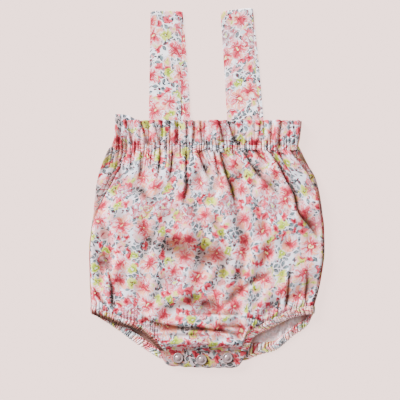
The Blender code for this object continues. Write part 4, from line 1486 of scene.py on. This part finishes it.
    def _flowers(self, board: Board, place: NodeSocket, under: Value, edge: Number) -> Value:
        """Large coral flowers, streaked from a cream middle; some are drawn only in outline."""
        colours = self.colours
        spot = self._spot(board, place, self.flowers)
        streaks = board.noise(spot.ray, 4.2, 2.0, "3D")
        fine = board.noise(spot.ray, 7.5, 1.0, "3D")
        broad = board.noise(spot.ray, 1.1, 0.0, "3D")
        inside = self._petals(spot, 5, 7.8 + 6.0 * streaks + 3.0 * spot.second, 0.34, edge, 0.6)
        filled = spot.first.step(0.71, 0.69)
        drawn = spot.first.over(0.71) * spot.first.step(0.90, 0.88)
        tone = spot.radius / 10.5 + 1.6 * (streaks - 0.5) + 1.2 * (edge - 0.5)
        petals = board.mixed(tone.step(0.10, 0.55), colours.coral, colours.pink)
        petals = board.mixed(tone.step(0.75, 1.15), petals, colours.blush)
        petals = board.mixed((broad + 0.30 * tone).step(0.74, 0.90), petals, colours.peach)
        petals = board.mixed(fine.step(0.45, 0.39) * spot.radius.step(3.0, 6.5) * 0.8, petals, colours.ground)
        lines = fine.step(0.53, 0.58) * (spot.radius + 7.0 * streaks).step(12.5, 8.0)
        petals = board.mixed(lines * 0.85, petals, colours.red)
        under = board.mixed(inside.step(-1.4, -0.6) * filled * 0.6, under, colours.ground)
        colour = board.mixed(inside.step(-0.3, 0.9) * (filled + drawn * 0.4), under,
                             board.mixed(drawn, petals, colours.ground))
        middle = (spot.radius + 6.0 * fine).step(5.0, 3.6) * filled
        colour = board.mixed(middle * 0.7, colour, colours.red)
        eye = spot.radius.step(1.7, 1.0) * filled * spot.second.over(0.62)
        colour = board.mixed(eye, colour, colours.cream)
        stroke = (inside - 1.8).sum("ABSOLUTE").step(2.1, 1.2) * edge.step(0.34, 0.42)
        inner = (spot.radius - 3.6).sum("ABSOLUTE").step(1.4, 0.5) * streaks.step(0.44, 0.55)
        spokes = fine.step(0.52, 0.58) * spot.radius.step(9.0, 6.5) * spot.radius.step(2.0, 3.0)
        pale = board.mixed(broad.step(0.4, 0.6), colours.coral, colours.pink)
        colour = board.mixed(stroke * drawn * 0.9, colour, pale)
        colour = board.mixed(spokes * drawn * 0.85, colour, colours.coral)
        colour = board.mixed(inner * drawn, colour, colours.red)
        return board.mixed(spot.radius.step(1.9, 1.0) * drawn, colour, colours.lime_pale)


@dataclass(frozen=True)
class SnapPlastic:
    """Cloudy plastic of the snaps."""

    name: str = "snap_plastic"
    colour: Colour = (0.28, 0.195, 0.205)
    roughness: float = 0.22
    clearness: float = 0.25
    coat: float = 0.5

    def material(self) -> Material:
        """The finished material."""
        made = bpy.data.materials.new(self.name)
        board = Board.on(made)
        where = board.node("ShaderNodeTexCoord").outputs["Object"]
        cloud = board.noise(where, 260.0, 2.0, "3D")
        board.dressed({
            "Base Color": board.mixed(cloud, self.colour, tuple(1.25 * part for part in self.colour)),
            "Roughness": self.roughness, "Transmission Weight": self.clearness,
            "Coat Weight": self.coat, "Coat Roughness": 0.12})
        return made


@dataclass(frozen=True)
class StudioFloor:
    """Pale paper that keeps only a trace of any shadow."""

    colour: Colour = (0.62, 0.44, 0.41)
    glow: Colour = (3.62, 2.59, 2.39)
    own_light: float = 0.72

    def material(self) -> Material:
        """The finished material."""
        made = bpy.data.materials.new("studio_floor")
        Board.on(made).dressed({
            "Base Color": (*(part * (1.0 - self.own_light) for part in self.colour), 1.0), "Roughness": 1.0,
            "Specular IOR Level": 0.0, "Emission Color": (*self.glow, 1.0),
            "Emission Strength": self.own_light})
        return made


@dataclass(frozen=True)
class Thread:
    """Pale sewing thread."""

    name: str = "thread"
    colour: Colour = (0.50, 0.42, 0.45)
    twist: float = 5200.0

    def material(self) -> Material:
        """The finished material."""
        made = bpy.data.materials.new(self.name)
        board = Board.on(made)
        where = board.node("ShaderNodeTexCoord").outputs["Object"]
        strands = board.noise(where, self.twist, 0.0, "3D")
        bump = board.node("ShaderNodeBump", None, {"Strength": 0.3, "Distance": 0.0001, "Height": strands})
        board.dressed({
            "Base Color": board.mixed(strands, tuple(0.8 * part for part in self.colour), self.colour),
            "Roughness": 0.55, "Sheen Weight": 0.2, "Normal": bump.outputs[0]})
        return made


@dataclass
class Stitching:
    """Rows of machine stitches, repeated along seam lines by one Geometry Nodes tree."""

    thread: Material
    pitch: float = 2.3
    length: float = 1.7
    thickness: float = 0.22
    shortest: float = 0.85
    seed: int = 4

    def __post_init__(self) -> None:
        """Build the tree once."""
        tree = bpy.data.node_groups.new("stitches", "GeometryNodeTree")
        face = tree.interface
        face.new_socket("Seam", in_out="INPUT", socket_type="NodeSocketGeometry")
        for name, kind in (("Pitch", "Float"), ("Length", "Float"), ("Thickness", "Float"), ("Seed", "Int")):
            face.new_socket(name, in_out="INPUT", socket_type=f"NodeSocket{kind}")
        face.new_socket("Thread", in_out="INPUT", socket_type="NodeSocketMaterial")
        face.new_socket("Stitches", in_out="OUTPUT", socket_type="NodeSocketGeometry")
        board = Board(tree)
        given = board.node("NodeGroupInput").outputs
        line = board.node("GeometryNodeMeshToCurve", None, {"Mesh": given["Seam"]}).outputs[0]
        spots = board.node("GeometryNodeCurveToPoints", {"mode": "LENGTH"},
                           {"Curve": line, "Length": given["Pitch"]})
        stitch = board.node("GeometryNodeMeshUVSphere", None, {"Segments": 6, "Rings": 4, "Radius": 0.5})
        uneven = board.node("FunctionNodeRandomValue", {"data_type": "FLOAT"}, {"Seed": given["Seed"]})
        uneven.inputs[2].default_value, uneven.inputs[3].default_value = self.shortest, 1.0
        long = Number(board, given["Length"]) * Number(board, uneven.outputs[1])
        thick = given["Thickness"]
        size = board.node("ShaderNodeCombineXYZ", None, {0: thick, 1: thick, 2: long})
        copies = board.node("GeometryNodeInstanceOnPoints", None, {
            "Points": spots.outputs["Points"], "Instance": stitch.outputs[0],
            "Rotation": spots.outputs["Rotation"], "Scale": size.outputs[0]})
        real = board.node("GeometryNodeRealizeInstances", None, {"Geometry": copies.outputs[0]})
        rounded = board.node("GeometryNodeSetShadeSmooth", None, {"Geometry": real.outputs[0]})
        dressed = board.node("GeometryNodeSetMaterial", None, {
            "Geometry": rounded.outputs[0], "Material": given["Thread"]})
        board.node("NodeGroupOutput", None, {"Stitches": dressed.outputs[0]})
        self.tree = tree

    def sew(self, name: str, lines: Sequence[Array]) -> Object:
        """Stitches along lines of points.

        Args:
            name: Name of the piece.
            lines: Each a row of points in millimetres, on the cloth's face.

        Returns:
            The new object, a plain mesh.
        """
        counts = np.cumsum([0] + [len(line) for line in lines])
        edges = [(k, k + 1) for start, end in zip(counts, counts[1:]) for k in range(start, end - 1)]
        path = bpy.data.meshes.new(name + "_path")
        path.from_pydata(((np.concatenate(lines) - CENTRE) * MM).tolist(), edges, [])
        made = placed(name, path)
        modifier = made.modifiers.new("stitches", "NODES")
        modifier.node_group = self.tree
        values = {"Pitch": self.pitch * MM, "Length": self.length * MM, "Thickness": self.thickness * MM,
                  "Seed": self.seed, "Thread": self.thread}
        for item in self.tree.interface.items_tree:
            if item.in_out == "INPUT" and item.name in values:
                modifier[item.identifier] = values[item.name]
        mesh = bpy.data.meshes.new_from_object(made.evaluated_get(bpy.context.evaluated_depsgraph_get()))
        made.modifiers.remove(modifier)
        made.data = mesh
        bpy.data.meshes.remove(path)
        log.info("%s: %d faces", name, len(mesh.polygons))
        return made


# ---------- pieces

@dataclass(frozen=True)
class Cut:
    """Flat cut of one cloth piece, in metres, and how it is held."""

    width: float
    length: float
    held: str = "gathered"
    area: float = 1.0


class Garment:
    """Keeps the tube and the finishes, and enters each finished piece in the frame."""

    def __init__(self, tube: Tube) -> None:
        """Make the finishes once."""
        self.tube = tube
        self.panels = {
            FRONT: FloralPoplin("floral_front").material(),
            BACK: FloralPoplin("floral_back", offset=(137.0, 61.0)).material(),
        }
        # The straps and bands take the same print with a lighter ground: painted light
        strap_painted_light_colours, band_painted_light_colours = PrintColours(ground=(0.97, 0.92, 1.0)), PrintColours(ground=(1.0, 0.95, 1.0))
        self.strap = FloralPoplin("floral_strap", strap_painted_light_colours, offset=(311.0, 203.0)).material()
        self.band = FloralPoplin("floral_band", band_painted_light_colours, offset=(83.0, 447.0)).material()
        self.plastic = SnapPlastic().material()
        self.stitching = Stitching(Thread().material())

    def enter(self, piece: Object, cut: Cut | None, node: str,
              seams: Sequence[Array] = ()) -> None:
        """Put a piece in the frame in place of its CAD node, with the stitches on it.

        Args:
            piece: The finished piece.
            cut: Its flat cut, if it is cloth; it has no effect.
            node: The CAD node it stands for.
            seams: Lines of points to sew along.
        """
        sewn = []
        if len(seams):
            sewn.append(self.stitching.sew(f"{node}_stitches", seams))
            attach(sewn[0], "root")
        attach(piece, "root")
        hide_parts(node)
        if cut:
            cut.width * cut.length * cut.area


@dataclass(frozen=True)
class Body:
    """The front and back panels.

    Attributes:
        hem_light: How much less shade the front has where it turns under at the hem.
        filled: Share of the flat cut's rectangle that a panel fills.
    """

    front_rows: int = 217
    front_columns: int = 352
    back_rows: int = 157
    back_columns: int = 321
    crowding: float = 0.96
    hem_light: float = 0.8
    hem_from: float = 0.955
    hem_fade: float = 0.025
    length: float = 0.27
    filled: float = 0.86

    def build(self, garment: Garment) -> None:
        """Build both panels."""
        down = np.linspace(0.0, 1.0, self.front_rows)[:, None] ** self.crowding
        grid = self._grid(garment.tube, FRONT, down, self.front_columns, depth=1.6, reach=6)
        grid.painted_shade *= 1.0 - self.hem_light * ease((down - self.hem_from) / self.hem_fade)
        self._enter(garment, FRONT, ClothMesher.build("front_panel_cloth", grid, garment.panels[FRONT]))
        down = np.linspace(0.0, 1.0, self.back_rows)[:, None]
        grid = self._grid(garment.tube, BACK, down, self.back_columns)
        x, y = grid.points[..., 0], grid.points[..., 1]
        # painted shade of the back panel's inner face, seen through the leg openings
        inside = np.clip(sum(crease.shift(x, y)[3] for crease in INNER_SHADES), 0.0, 1.0)
        self._enter(garment, BACK, ClothMesher.build("back_panel_cloth", grid, garment.panels[BACK], coarse=2,
                                                     inner_painted_shade=inside))

    @staticmethod
    def _grid(tube: Tube, half: Half, down: Array, columns: int, **folds: float) -> ClothGrid:
        """Outer face of a panel at some ways down, with how its folds' depth is judged for their painted
        shade.
        """
        places = tube.places(tube.side_height(down), half, columns)
        return ClothGrid.laid(tube.body(places, down), WALL, half.facing, half.print_width, **folds)

    def _enter(self, garment: Garment, half: Half, piece: Object) -> None:
        """Enter a panel in the frame."""
        cut = Cut(half.cut_width, self.length, area=self.filled)
        garment.enter(piece, cut, f"{half.name}_panel")


@dataclass(frozen=True)
class Waist:
    """The elastic casing and the ruffled header, each in a front and a back half.

    Attributes:
        header_print: Share of the print's width that a header takes up.
    """

    header_rows: int = 34
    casing_rows: int = 10
    columns: int = 352
    header_print: float = 0.84

    def build(self, garment: Garment) -> None:
        """Build the four pieces, each header's print running on from its casing's."""
        feet = {FRONT: 0.0, BACK: 0.0}
        heights = np.linspace(WAIST, HEADER_FOOT, self.casing_rows)[::-1, None]
        for half in feet:
            reach, depth = (5, 1.0) if half is FRONT else (4, 2.4)
            points = garment.tube.upper(garment.tube.places(heights, half, self.columns), heights)
            grid = ClothGrid.laid(points, WALL, half.facing, half.print_width, depth, reach)
            feet[half] = grid.joined(feet[half])
            piece = ClothMesher.build(f"{half.name}_casing_cloth", grid, garment.panels[half], reverse=0.0)
            garment.enter(piece, Cut(half.cut_width, 0.0101, area=0.6), f"{half.name}_casing",
                          (grid.points[1], grid.points[-2]))
        heights = np.linspace(HEADER_FOOT, HEADER_TOP, self.header_rows)[::-1, None]
        for half in feet:
            reach, depth = (7, 3.3) if half is FRONT else (4, 2.4)
            lay = garment.tube.upper if half is FRONT else garment.tube.raised_back
            points = lay(garment.tube.places(heights, half, self.columns), heights)
            width = half.print_width * self.header_print
            grid = ClothGrid.laid(points, WALL, half.facing, width, depth, reach)
            feet[half] = grid.joined(feet[half])
            piece = ClothMesher.build(f"{half.name}_header_cloth", grid, garment.panels[half], reverse=0.0)
            garment.enter(piece, Cut(half.cut_width, 0.03), f"{half.name}_header")


@dataclass(frozen=True)
class Band:
    """One half of a leg's gathered band.

    Attributes:
        slant: How far a ridge leans over the band's width.
        painted_curl_shade: Painted shade that darkens its outer half, in place of a curl under.
        reach: How far up the panel it spreads near the tab.
    """

    name: str
    half: Half
    left: bool
    ridges: Gathers
    slant: float
    painted_curl_shade: float = 0.0
    reach: float = 0.0
    print_from: Plan = (0.0, 0.0)


@dataclass(frozen=True)
class LegBands:
    """Gathered elastic bands round the leg openings.

    Attributes:
        lap_rows: Share of a band's rows that lie on the panel.
        lying: How much of the gathers shows on the face that lies on the surface.
        scallop: How far the gathers push the edge out and in.
    """

    rows: int = 16
    columns: int = 271
    lap_from: float = 0.986
    lap_rows: float = 0.22
    reach_until: float = 0.45
    lift: float = 0.3
    lying: float = 0.15
    scallop: float = 0.55
    # Painted shade in the grooves between gathers and on a curled band's outer half: its strength, where it
    # begins, and its most
    groove: float = 2.8
    groove_from: float = 0.2
    groove_most: float = 0.9
    curl_shade_rate: float = 1.6
    curl_shade_from: float = 0.3
    most: float = 1.3
    print_scale: Plan = (1.25, 0.35)
    bands: tuple[Band, ...] = (
        Band("leg_band_front_left", FRONT, True, Gathers(3.4, 1.0, 0.5, 11), slant=1.0, painted_curl_shade=1.3),
        Band("leg_band_front_right", FRONT, False, Gathers(3.6, 3.0, 0.45, 12), slant=-2.5,
             print_from=(31.0, 12.0)),
        Band("leg_band_back_left", BACK, True, Gathers(3.6, 2.2, 0.4, 13), slant=1.5),
        Band("leg_band_back_right", BACK, False, Gathers(4.3, 3.0, 0.4, 14), slant=1.0, reach=0.045),
    )

    def build(self, garment: Garment) -> None:
        """Build the four halves."""
        for band in self.bands:
            top, bottom, shade = self._faces(band, self._middle(garment.tube, band))
            rows = np.concatenate((top, bottom[::-1], top[:1]))
            painted_shade = np.concatenate((shade, shade[::-1], shade[:1]))
            flat = ClothGrid.unrolled(rows, 0.0) * np.array(self.print_scale) + np.array(band.print_from)
            piece = ClothMesher.build_loop(f"{band.name}_cloth", rows[:-1], flat, painted_shade, garment.band)
            outer = top if band.half is FRONT else bottom
            garment.enter(piece, Cut(0.17, 0.0115), band.name, (outer[1],))

    def _middle(self, tube: Tube, band: Band) -> Array:
        """Middle surface of a band, its rows from the panel's seam to the edge."""
        along = np.linspace(0.0, 1.0, self.columns)[None, :]
        row = np.linspace(0.0, 1.0, self.rows)[:, None]
        start = self.lap_from - band.reach * ease((self.reach_until - along) / self.reach_until)
        down = start + (1.0 - start) * np.clip(row / self.lap_rows, 0.0, 1.0)
        down = down + np.clip((row - self.lap_rows) / (1.0 - self.lap_rows), 0.0, 1.0)
        y = tube.side_height(down)
        width = tube.station("right", y) - tube.station("left", y)
        overrun = tube.station("rim", y) * (math.pi / 2.0 - 1.0)
        first, last = tube.ends(y, band.half)
        if band.left:
            last = TAB_START * width + overrun
        else:
            first = TAB_END * width + overrun
        return tube.body(-band.half.facing * mix(first, last, along), down, BAND_WALL)[..., :3]

    def _faces(self, band: Band, middle: Array) -> tuple[Array, Array, Array]:
        """Upper and lower faces of a band round its middle surface, and the shade in its grooves."""
        share = np.linspace(0.0, 1.0, self.rows)[:, None]
        ridges = band.ridges.at(run_length(middle[0], 0)[None, :] + band.slant * share)
        arch = np.sin(math.pi * share) ** 0.5
        spread = (ridges + self.lift) * mix(0.45, 1.0, arch)
        out = np.gradient(middle, axis=0)
        out[..., 2] = 0.0
        up = ClothGrid.normals(middle, 1.0)
        middle = middle + unit(out) * (ridges * ease(share * 2.0 - 1.0) * self.scallop)[..., None]
        half = BAND_WALL / 2.0 * mix(0.35, 1.0, arch)
        top = middle + up * (half + spread)[..., None]
        bottom = middle - up * (half + (spread if band.half is FRONT else self.lying * spread))[..., None]
        bottom[..., 2] = np.maximum(bottom[..., 2], 0.0)
        shade = np.clip(-self.groove * ridges / band.ridges.height - self.groove_from, 0.0, self.groove_most)
        shade = shade + band.painted_curl_shade * ease(self.curl_shade_rate * share - self.curl_shade_from)
        return top, bottom, np.clip(shade, 0.0, self.most)


@dataclass(frozen=True)
class Tab:
    """The snap tab, the back placket folded beneath it and the snaps' caps.

    Attributes:
        corners: Top left, top right, foot right and foot left.
        tucked: Share of its depth that lies on beyond its top, beneath the panel's roll.
        shade_shift: How far a snap's shade lies down to the right.
        inset: How much narrower the flap beneath is on either side.
    """

    corners: tuple[Plan, ...] = ((-57.0, -196.3), (47.5, -196.8), (38.0, -216.4), (-50.4, -214.0))
    tucked: float = 0.10
    sag: float = 1.2
    rounding: float = 2.4
    ripple: float = 0.35
    level: float = 6.4
    edge_fall: float = 0.55
    wave: float = 0.35
    dish: float = 0.5
    pucker: float = 0.35
    dim: float = 0.28
    brink_dim: float = 0.16
    snap_shade: float = 0.55
    shade_shift: float = 1.2
    rows: int = 25
    columns: int = 103
    print_from: Plan = (133.0, 71.0)
    inset: float = 2.5
    flap_level: float = 2.9
    fold_y: float = -214.2
    fold_fall: float = 1.6
    flap_top: float = -198.0
    snaps: tuple[Plan, ...] = ((-35.2, -204.9), (-7.0, -206.9), (24.0, -204.6))
    cap_profile: tuple[Plan, ...] = (
        (0.0, 0.0), (6.0, 0.0), (6.3, 0.4), (6.2, 0.95), (5.7, 1.35), (5.1, 1.3), (4.6, 0.9), (3.9, 0.8),
        (3.2, 1.1), (2.5, 1.75), (1.7, 2.15), (0.9, 2.25), (0.0, 2.25),
    )
    cap_sides: int = 48
    cap_sunk: float = 0.35

    def build(self, garment: Garment) -> None:
        """Build the tab, the flap and the caps."""
        self._tab(garment)
        self._flap(garment)
        for number, place in enumerate(self.snaps, start=1):
            piece = self._cap(f"snap_cap_{number}_shown", place, garment.plastic)
            garment.enter(piece, None, f"snap_cap_{number}")

    def _tab(self, garment: Garment) -> None:
        """The flat double strip below the front panel's roll."""
        share = np.linspace(-self.tucked, 1.0, self.rows)[:, None]
        across = np.linspace(0.0, 1.0, self.columns)[None, :]
        plan = self._plan(share, across)
        level, dim = self._level(share, across), self._dim(share, across)
        for x, y in self.snaps:
            right, up = plan[..., 0] - x, plan[..., 1] - y
            gap, turn = np.hypot(right, up), np.arctan2(up, right)
            puckers = self.pucker * bell(gap - 9.5, 1.6) * np.sin(3.0 * turn + x)
            level = level - self.dish * bell(gap, 8.0) + puckers
            beside = np.hypot(right - self.shade_shift, up + self.shade_shift)
            dim = dim + self.snap_shade * bell(beside - 5.9, 1.2)
        middle = np.concatenate((plan, level[..., None]), axis=-1)
        grid = ClothGrid.laid(middle, PLACKET_WALL, FRONT.facing, reach=3, depth=1.6)
        grid.painted_shade = np.clip(grid.painted_shade + dim, 0.0, 1.0)
        grid.flat += np.array(self.print_from)
        piece = ClothMesher.build("front_placket_cloth", grid, garment.panels[FRONT], thickness=1.2,
                                  reverse=0.0)
        foot = int(0.9 * self.rows)
        left, low, right = grid.points[6:foot, 2], grid.points[foot, 2:-2], grid.points[6:foot, -3][::-1]
        garment.enter(piece, Cut(0.105, 0.022, "folded"), "front_placket",
                      (np.concatenate((left, low, right)),))

    def _plan(self, share: Array, across: Array) -> Array:
        """Plan places of the tab at shares of its depth and width."""
        top_left, top_right, foot_right, foot_left = (np.array(corner) for corner in self.corners)
        start, end = mix(top_left, foot_left, share[..., None]), mix(top_right, foot_right, share[..., None])
        plan = mix(start, end, across[..., None])
        corner = ease((np.abs(across - 0.5) - 0.44) / 0.06)
        plan[..., 1] -= share * self.sag * np.sin(math.pi * across)
        plan[..., 1] += self.rounding * corner ** 2 * ease((share - 0.55) / 0.45)
        plan[..., 1] += self.ripple * np.sin(across * 41.0) * ease((share - 0.7) / 0.3)
        return plan

    def _level(self, share: Array, across: Array) -> Array:
        """Height of the tab's middle surface, but for the snaps."""
        edge = np.minimum(np.minimum(across, 1.0 - across) * 100.0, (1.0 - share) * 18.0)
        return self.level - self.edge_fall * bell(edge, 1.3) + self.wave * np.sin(across * 23.0 + 2.0 * share)

    def _dim(self, share: Array, across: Array) -> Array:
        """Shade of the tab, but for the snaps'; its brink wanders."""
        brink = 0.05 + 0.06 * np.sin(11.0 * across + 1.0) + 0.05 * np.sin(29.0 * across)
        return self.dim + self.brink_dim * (1.0 - ease((share - brink) / 0.14))

    def _flap(self, garment: Garment) -> None:
        """The back panel's end, folded up and over to lie under the tab."""
        lying, radius = WALL / 2.0, (self.flap_level - WALL / 2.0) / 2.0
        across = np.linspace(0.0, 1.0, 64)
        (left, _), (right, _), (foot_right, _), (foot_left, _) = self.corners
        hem_x, hem_y = garment.tube.hem(BACK_LEGS, mix(TAB_START, TAB_END, across), seam=True)
        fold_x = mix(foot_left + self.inset, foot_right - self.inset, across)
        top_x = mix(left + self.inset, right - self.inset, across)
        fold_y = self.fold_y + radius + lying - across * self.fold_fall
        rows = [(hem_x, hem_y + 0.2, lying), (mix(hem_x, fold_x, 0.5), mix(hem_y, fold_y, 0.5), lying)]
        rows += [(fold_x, fold_y - radius * math.sin(turn), lying + radius - radius * math.cos(turn))
                 for turn in np.linspace(0.0, math.pi, 12)]
        rows += [(mix(fold_x, top_x, share), mix(fold_y, self.flap_top, share), self.flap_level)
                 for share in (0.34, 0.67, 1.0)]
        points = np.array([np.column_stack(np.broadcast_arrays(*row)) for row in rows])
        piece = ClothMesher.build("back_placket_cloth", ClothGrid.laid(points, WALL, BACK.facing),
                                  garment.panels[BACK], coarse=1, thickness=0.9)
        garment.enter(piece, Cut(0.09, 0.026, "folded"), "back_placket")

    def _cap(self, name: str, place: Plan, material: Material) -> Object:
        """Round cap turned from its profile, resting on the tab."""
        sides = self.cap_sides
        base = self.level + PLACKET_WALL / 2.0 - self.cap_sunk
        x, y = place[0] - CENTRE[0], place[1] - CENTRE[1]
        bm = bmesh.new()
        rings = []
        for radius, height in self.cap_profile:
            angles = [0.0] if radius == 0.0 else [math.tau * side / sides for side in range(sides)]
            rings.append([bm.verts.new(((x + radius * math.cos(a)) * MM, (y + radius * math.sin(a)) * MM,
                                        (base + height) * MM)) for a in angles])
        for lower, upper in zip(rings, rings[1:]):
            for side in range(sides):
                after = (side + 1) % sides
                loop = [lower[side % len(lower)], lower[after % len(lower)], upper[after % len(upper)],
                        upper[side % len(upper)]]
                bm.faces.new(list(dict.fromkeys(loop)))
        mesh = bpy.data.meshes.new(name)
        finish_mesh(bm, mesh, material)
        return placed(name, mesh)


@dataclass(frozen=True)
class Strap:
    """Middle line of one strap's two halves.

    Attributes:
        bow: How far the back half curves to the right.
        slant: How steeply the fold rises to the right.
    """

    name: str
    front_foot: float
    front_top: float
    back_foot: float
    back_top: float
    bow: float
    top: float
    slant: float
    print_from: Plan


@dataclass(frozen=True)
class Straps:
    """Two shoulder straps, each a strip doubled over at the shoulder.

    Attributes:
        leaves: Height where a strap comes out from behind the header.
        press: How far the front half's side edges are pressed down, and its right one besides.
    """

    straps: tuple[Strap, ...] = (
        Strap("strap_left", -51.8, -49.3, -38.2, -49.0, bow=1.4, top=211.6, slant=0.0,
              print_from=(23.0, 39.0)),
        Strap("strap_right", 44.6, 35.0, 50.0, 35.4, bow=1.4, top=213.4, slant=0.12,
              print_from=(118.0, -26.0)),
    )
    width: float = 38.4
    corner: float = 1.8
    foot: float = 51.0
    leaves: float = 81.5
    fold_radius: float = 1.1
    settling: float = 12.0
    press: Plan = (0.2, 0.62)
    edge_shade: float = 0.03
    rows: int = 61
    fold_rows: int = 13
    columns: int = 49

    def build(self, garment: Garment) -> None:
        """Build both straps."""
        edge = (0.5 - np.abs(self._across())) * self.width
        for strap in self.straps:
            grid = ClothGrid.laid(self._middle(strap), WALL, BACK.facing)
            grid.painted_shade = np.broadcast_to(self.edge_shade * bell(edge, 0.7), grid.painted_shade.shape)
            grid.flat += np.array(strap.print_from)
            piece = ClothMesher.build(f"{strap.name}_cloth", grid, garment.strap, thickness=0.9, coarse=2,
                                      reverse=0.0)
            garment.enter(piece, Cut(0.0384, 0.325, "folded"), strap.name)

    def _across(self) -> Array:
        """Shares of the width from the middle line, -0.5 to 0.5."""
        return 0.5 * np.sin(np.linspace(-math.pi / 2.0, math.pi / 2.0, self.columns))

    def _middle(self, strap: Strap) -> Array:
        """Rows from the back foot up to the fold and down to the front foot."""
        lying, upper = WALL / 2.0, WALL / 2.0 + 2.0 * self.fold_radius
        tuck_back = WALL * 1.5 + 0.3
        tuck_front = tuck_back + WALL + 0.3
        bend = strap.top - self.fold_radius
        up = np.linspace(self.foot, bend, self.rows)
        back = smooth(up, (self.foot, self.leaves, 95.0, bend), (tuck_back, tuck_back, lying, lying))
        front = smooth(up, (self.foot, self.leaves, 110.0, 130.0, 150.0, 175.0, bend - self.settling, bend),
                       (tuck_front, tuck_front, 1.9, 1.55, 1.65, 1.55, upper - 0.6, upper))
        rows = [self._row(strap, y, level, False) for y, level in zip(up, back)]
        for turn in np.linspace(0.0, math.pi, self.fold_rows)[1:-1]:
            level = lying + self.fold_radius * (1.0 - math.cos(turn))
            row = self._row(strap, bend, level, turn > math.pi / 2.0)
            row[:, 1] += self.fold_radius * math.sin(turn)
            rows.append(row)
        rows += [self._row(strap, y, level, True) for y, level in zip(up[::-1], front[::-1])]
        return np.array(rows)

    def _row(self, strap: Strap, y: float, level: float, front: bool) -> Array:
        """One row of points across a strap's half, at its height up the garment and off the surface."""
        foot, top = (strap.front_foot, strap.front_top) if front else (strap.back_foot, strap.back_top)
        across = self._across()
        share = (y - self.foot) / (strap.top - self.foot)
        bow = 0.0 if front else strap.bow
        x = mix(foot, top, share) + across * self.width + 4.0 * bow * share * (1.0 - share)
        rounded = self.corner * (2.0 * np.abs(across)) ** 8
        shift = ease((share - 0.6) / 0.4) * (strap.slant * across * self.width - rounded)
        both, right = self.press
        pressed = both * (2.0 * np.abs(across)) ** 10 + right * (2.0 * np.maximum(across, 0.0)) ** 6
        pressed *= ease((strap.top - self.fold_radius - y) / self.settling)
        return np.column_stack((x, y + shift, level - pressed * front))


@dataclass(frozen=True)
class Studio:
    """Floor, light and camera.

    Attributes:
        aim, level, span: Middle of the picture, and the height at which it is span wide.
        sun_from: Direction of the main light, clockwise from the top, and its height, in degrees.
    """

    aim: Plan = (-8.25, -14.98)
    level: float = 5.0
    span: float = 480.0
    lens: float = 100.0
    sensor: float = 36.0
    sun_strength: float = 14.1
    sun_angle: float = 24.0
    sun_from: Plan = (-48.0, 27.5)
    sky_strength: float = 0.76
    sky: Colour = (1.0, 0.95, 0.90)
    floor_half: float = 3.0
    floor_gap: float = 0.0002

    def build(self) -> None:
        """Set everything up."""
        mesh = bpy.data.meshes.new("floor")
        half = self.floor_half
        plan = ((-half, -half), (half, -half), (half, half), (-half, half))
        mesh.from_pydata([(x, y, -self.floor_gap) for x, y in plan], [], [(0, 1, 2, 3)])
        mesh.materials.append(StudioFloor().material())
        placed("floor", mesh)
        self._light()
        self._camera()

    def _light(self) -> None:
        """A broad sun from the upper left and an even sky."""
        sun = bpy.data.lights.new("key", "SUN")
        sun.energy = self.sun_strength
        sun.angle = math.radians(self.sun_angle)
        key = placed("key", sun)
        side, height = (math.radians(part) for part in self.sun_from)
        key.rotation_mode = "QUATERNION"
        level = math.cos(height)
        source = Vector((math.sin(side) * level, math.cos(side) * level, math.sin(height)))
        key.rotation_quaternion = source.to_track_quat("Z", "Y")
        world = bpy.data.worlds.new("sky")
        world.use_nodes = True
        background = world.node_tree.nodes["Background"]
        background.inputs[0].default_value = (*self.sky, 1.0)
        background.inputs[1].default_value = self.sky_strength
        bpy.context.scene.world = world

    def _camera(self) -> None:
        """Camera straight above the garment."""
        camera = bpy.data.cameras.new("camera")
        camera.lens, camera.sensor_width = self.lens, self.sensor
        made = placed("camera", camera)
        height = self.span * self.lens / self.sensor + self.level
        made.location = (self.aim[0] * MM, self.aim[1] * MM, height * MM)
        bpy.context.scene.camera = made


def main() -> None:
    """Build every piece, then the studio."""
    logging.basicConfig(level=logging.INFO, format="%(message)s")
    garment = Garment(Tube())
    for part in (Body(), Waist(), LegBands(), Tab(), Straps()):
        part.build(garment)
    for number in (1, 2, 3):
        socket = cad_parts[f"snap_socket_{number}"]
        socket.data.materials.clear()
        socket.data.materials.append(garment.plastic)
    Studio().build()


if __name__ == "__main__":
    main()
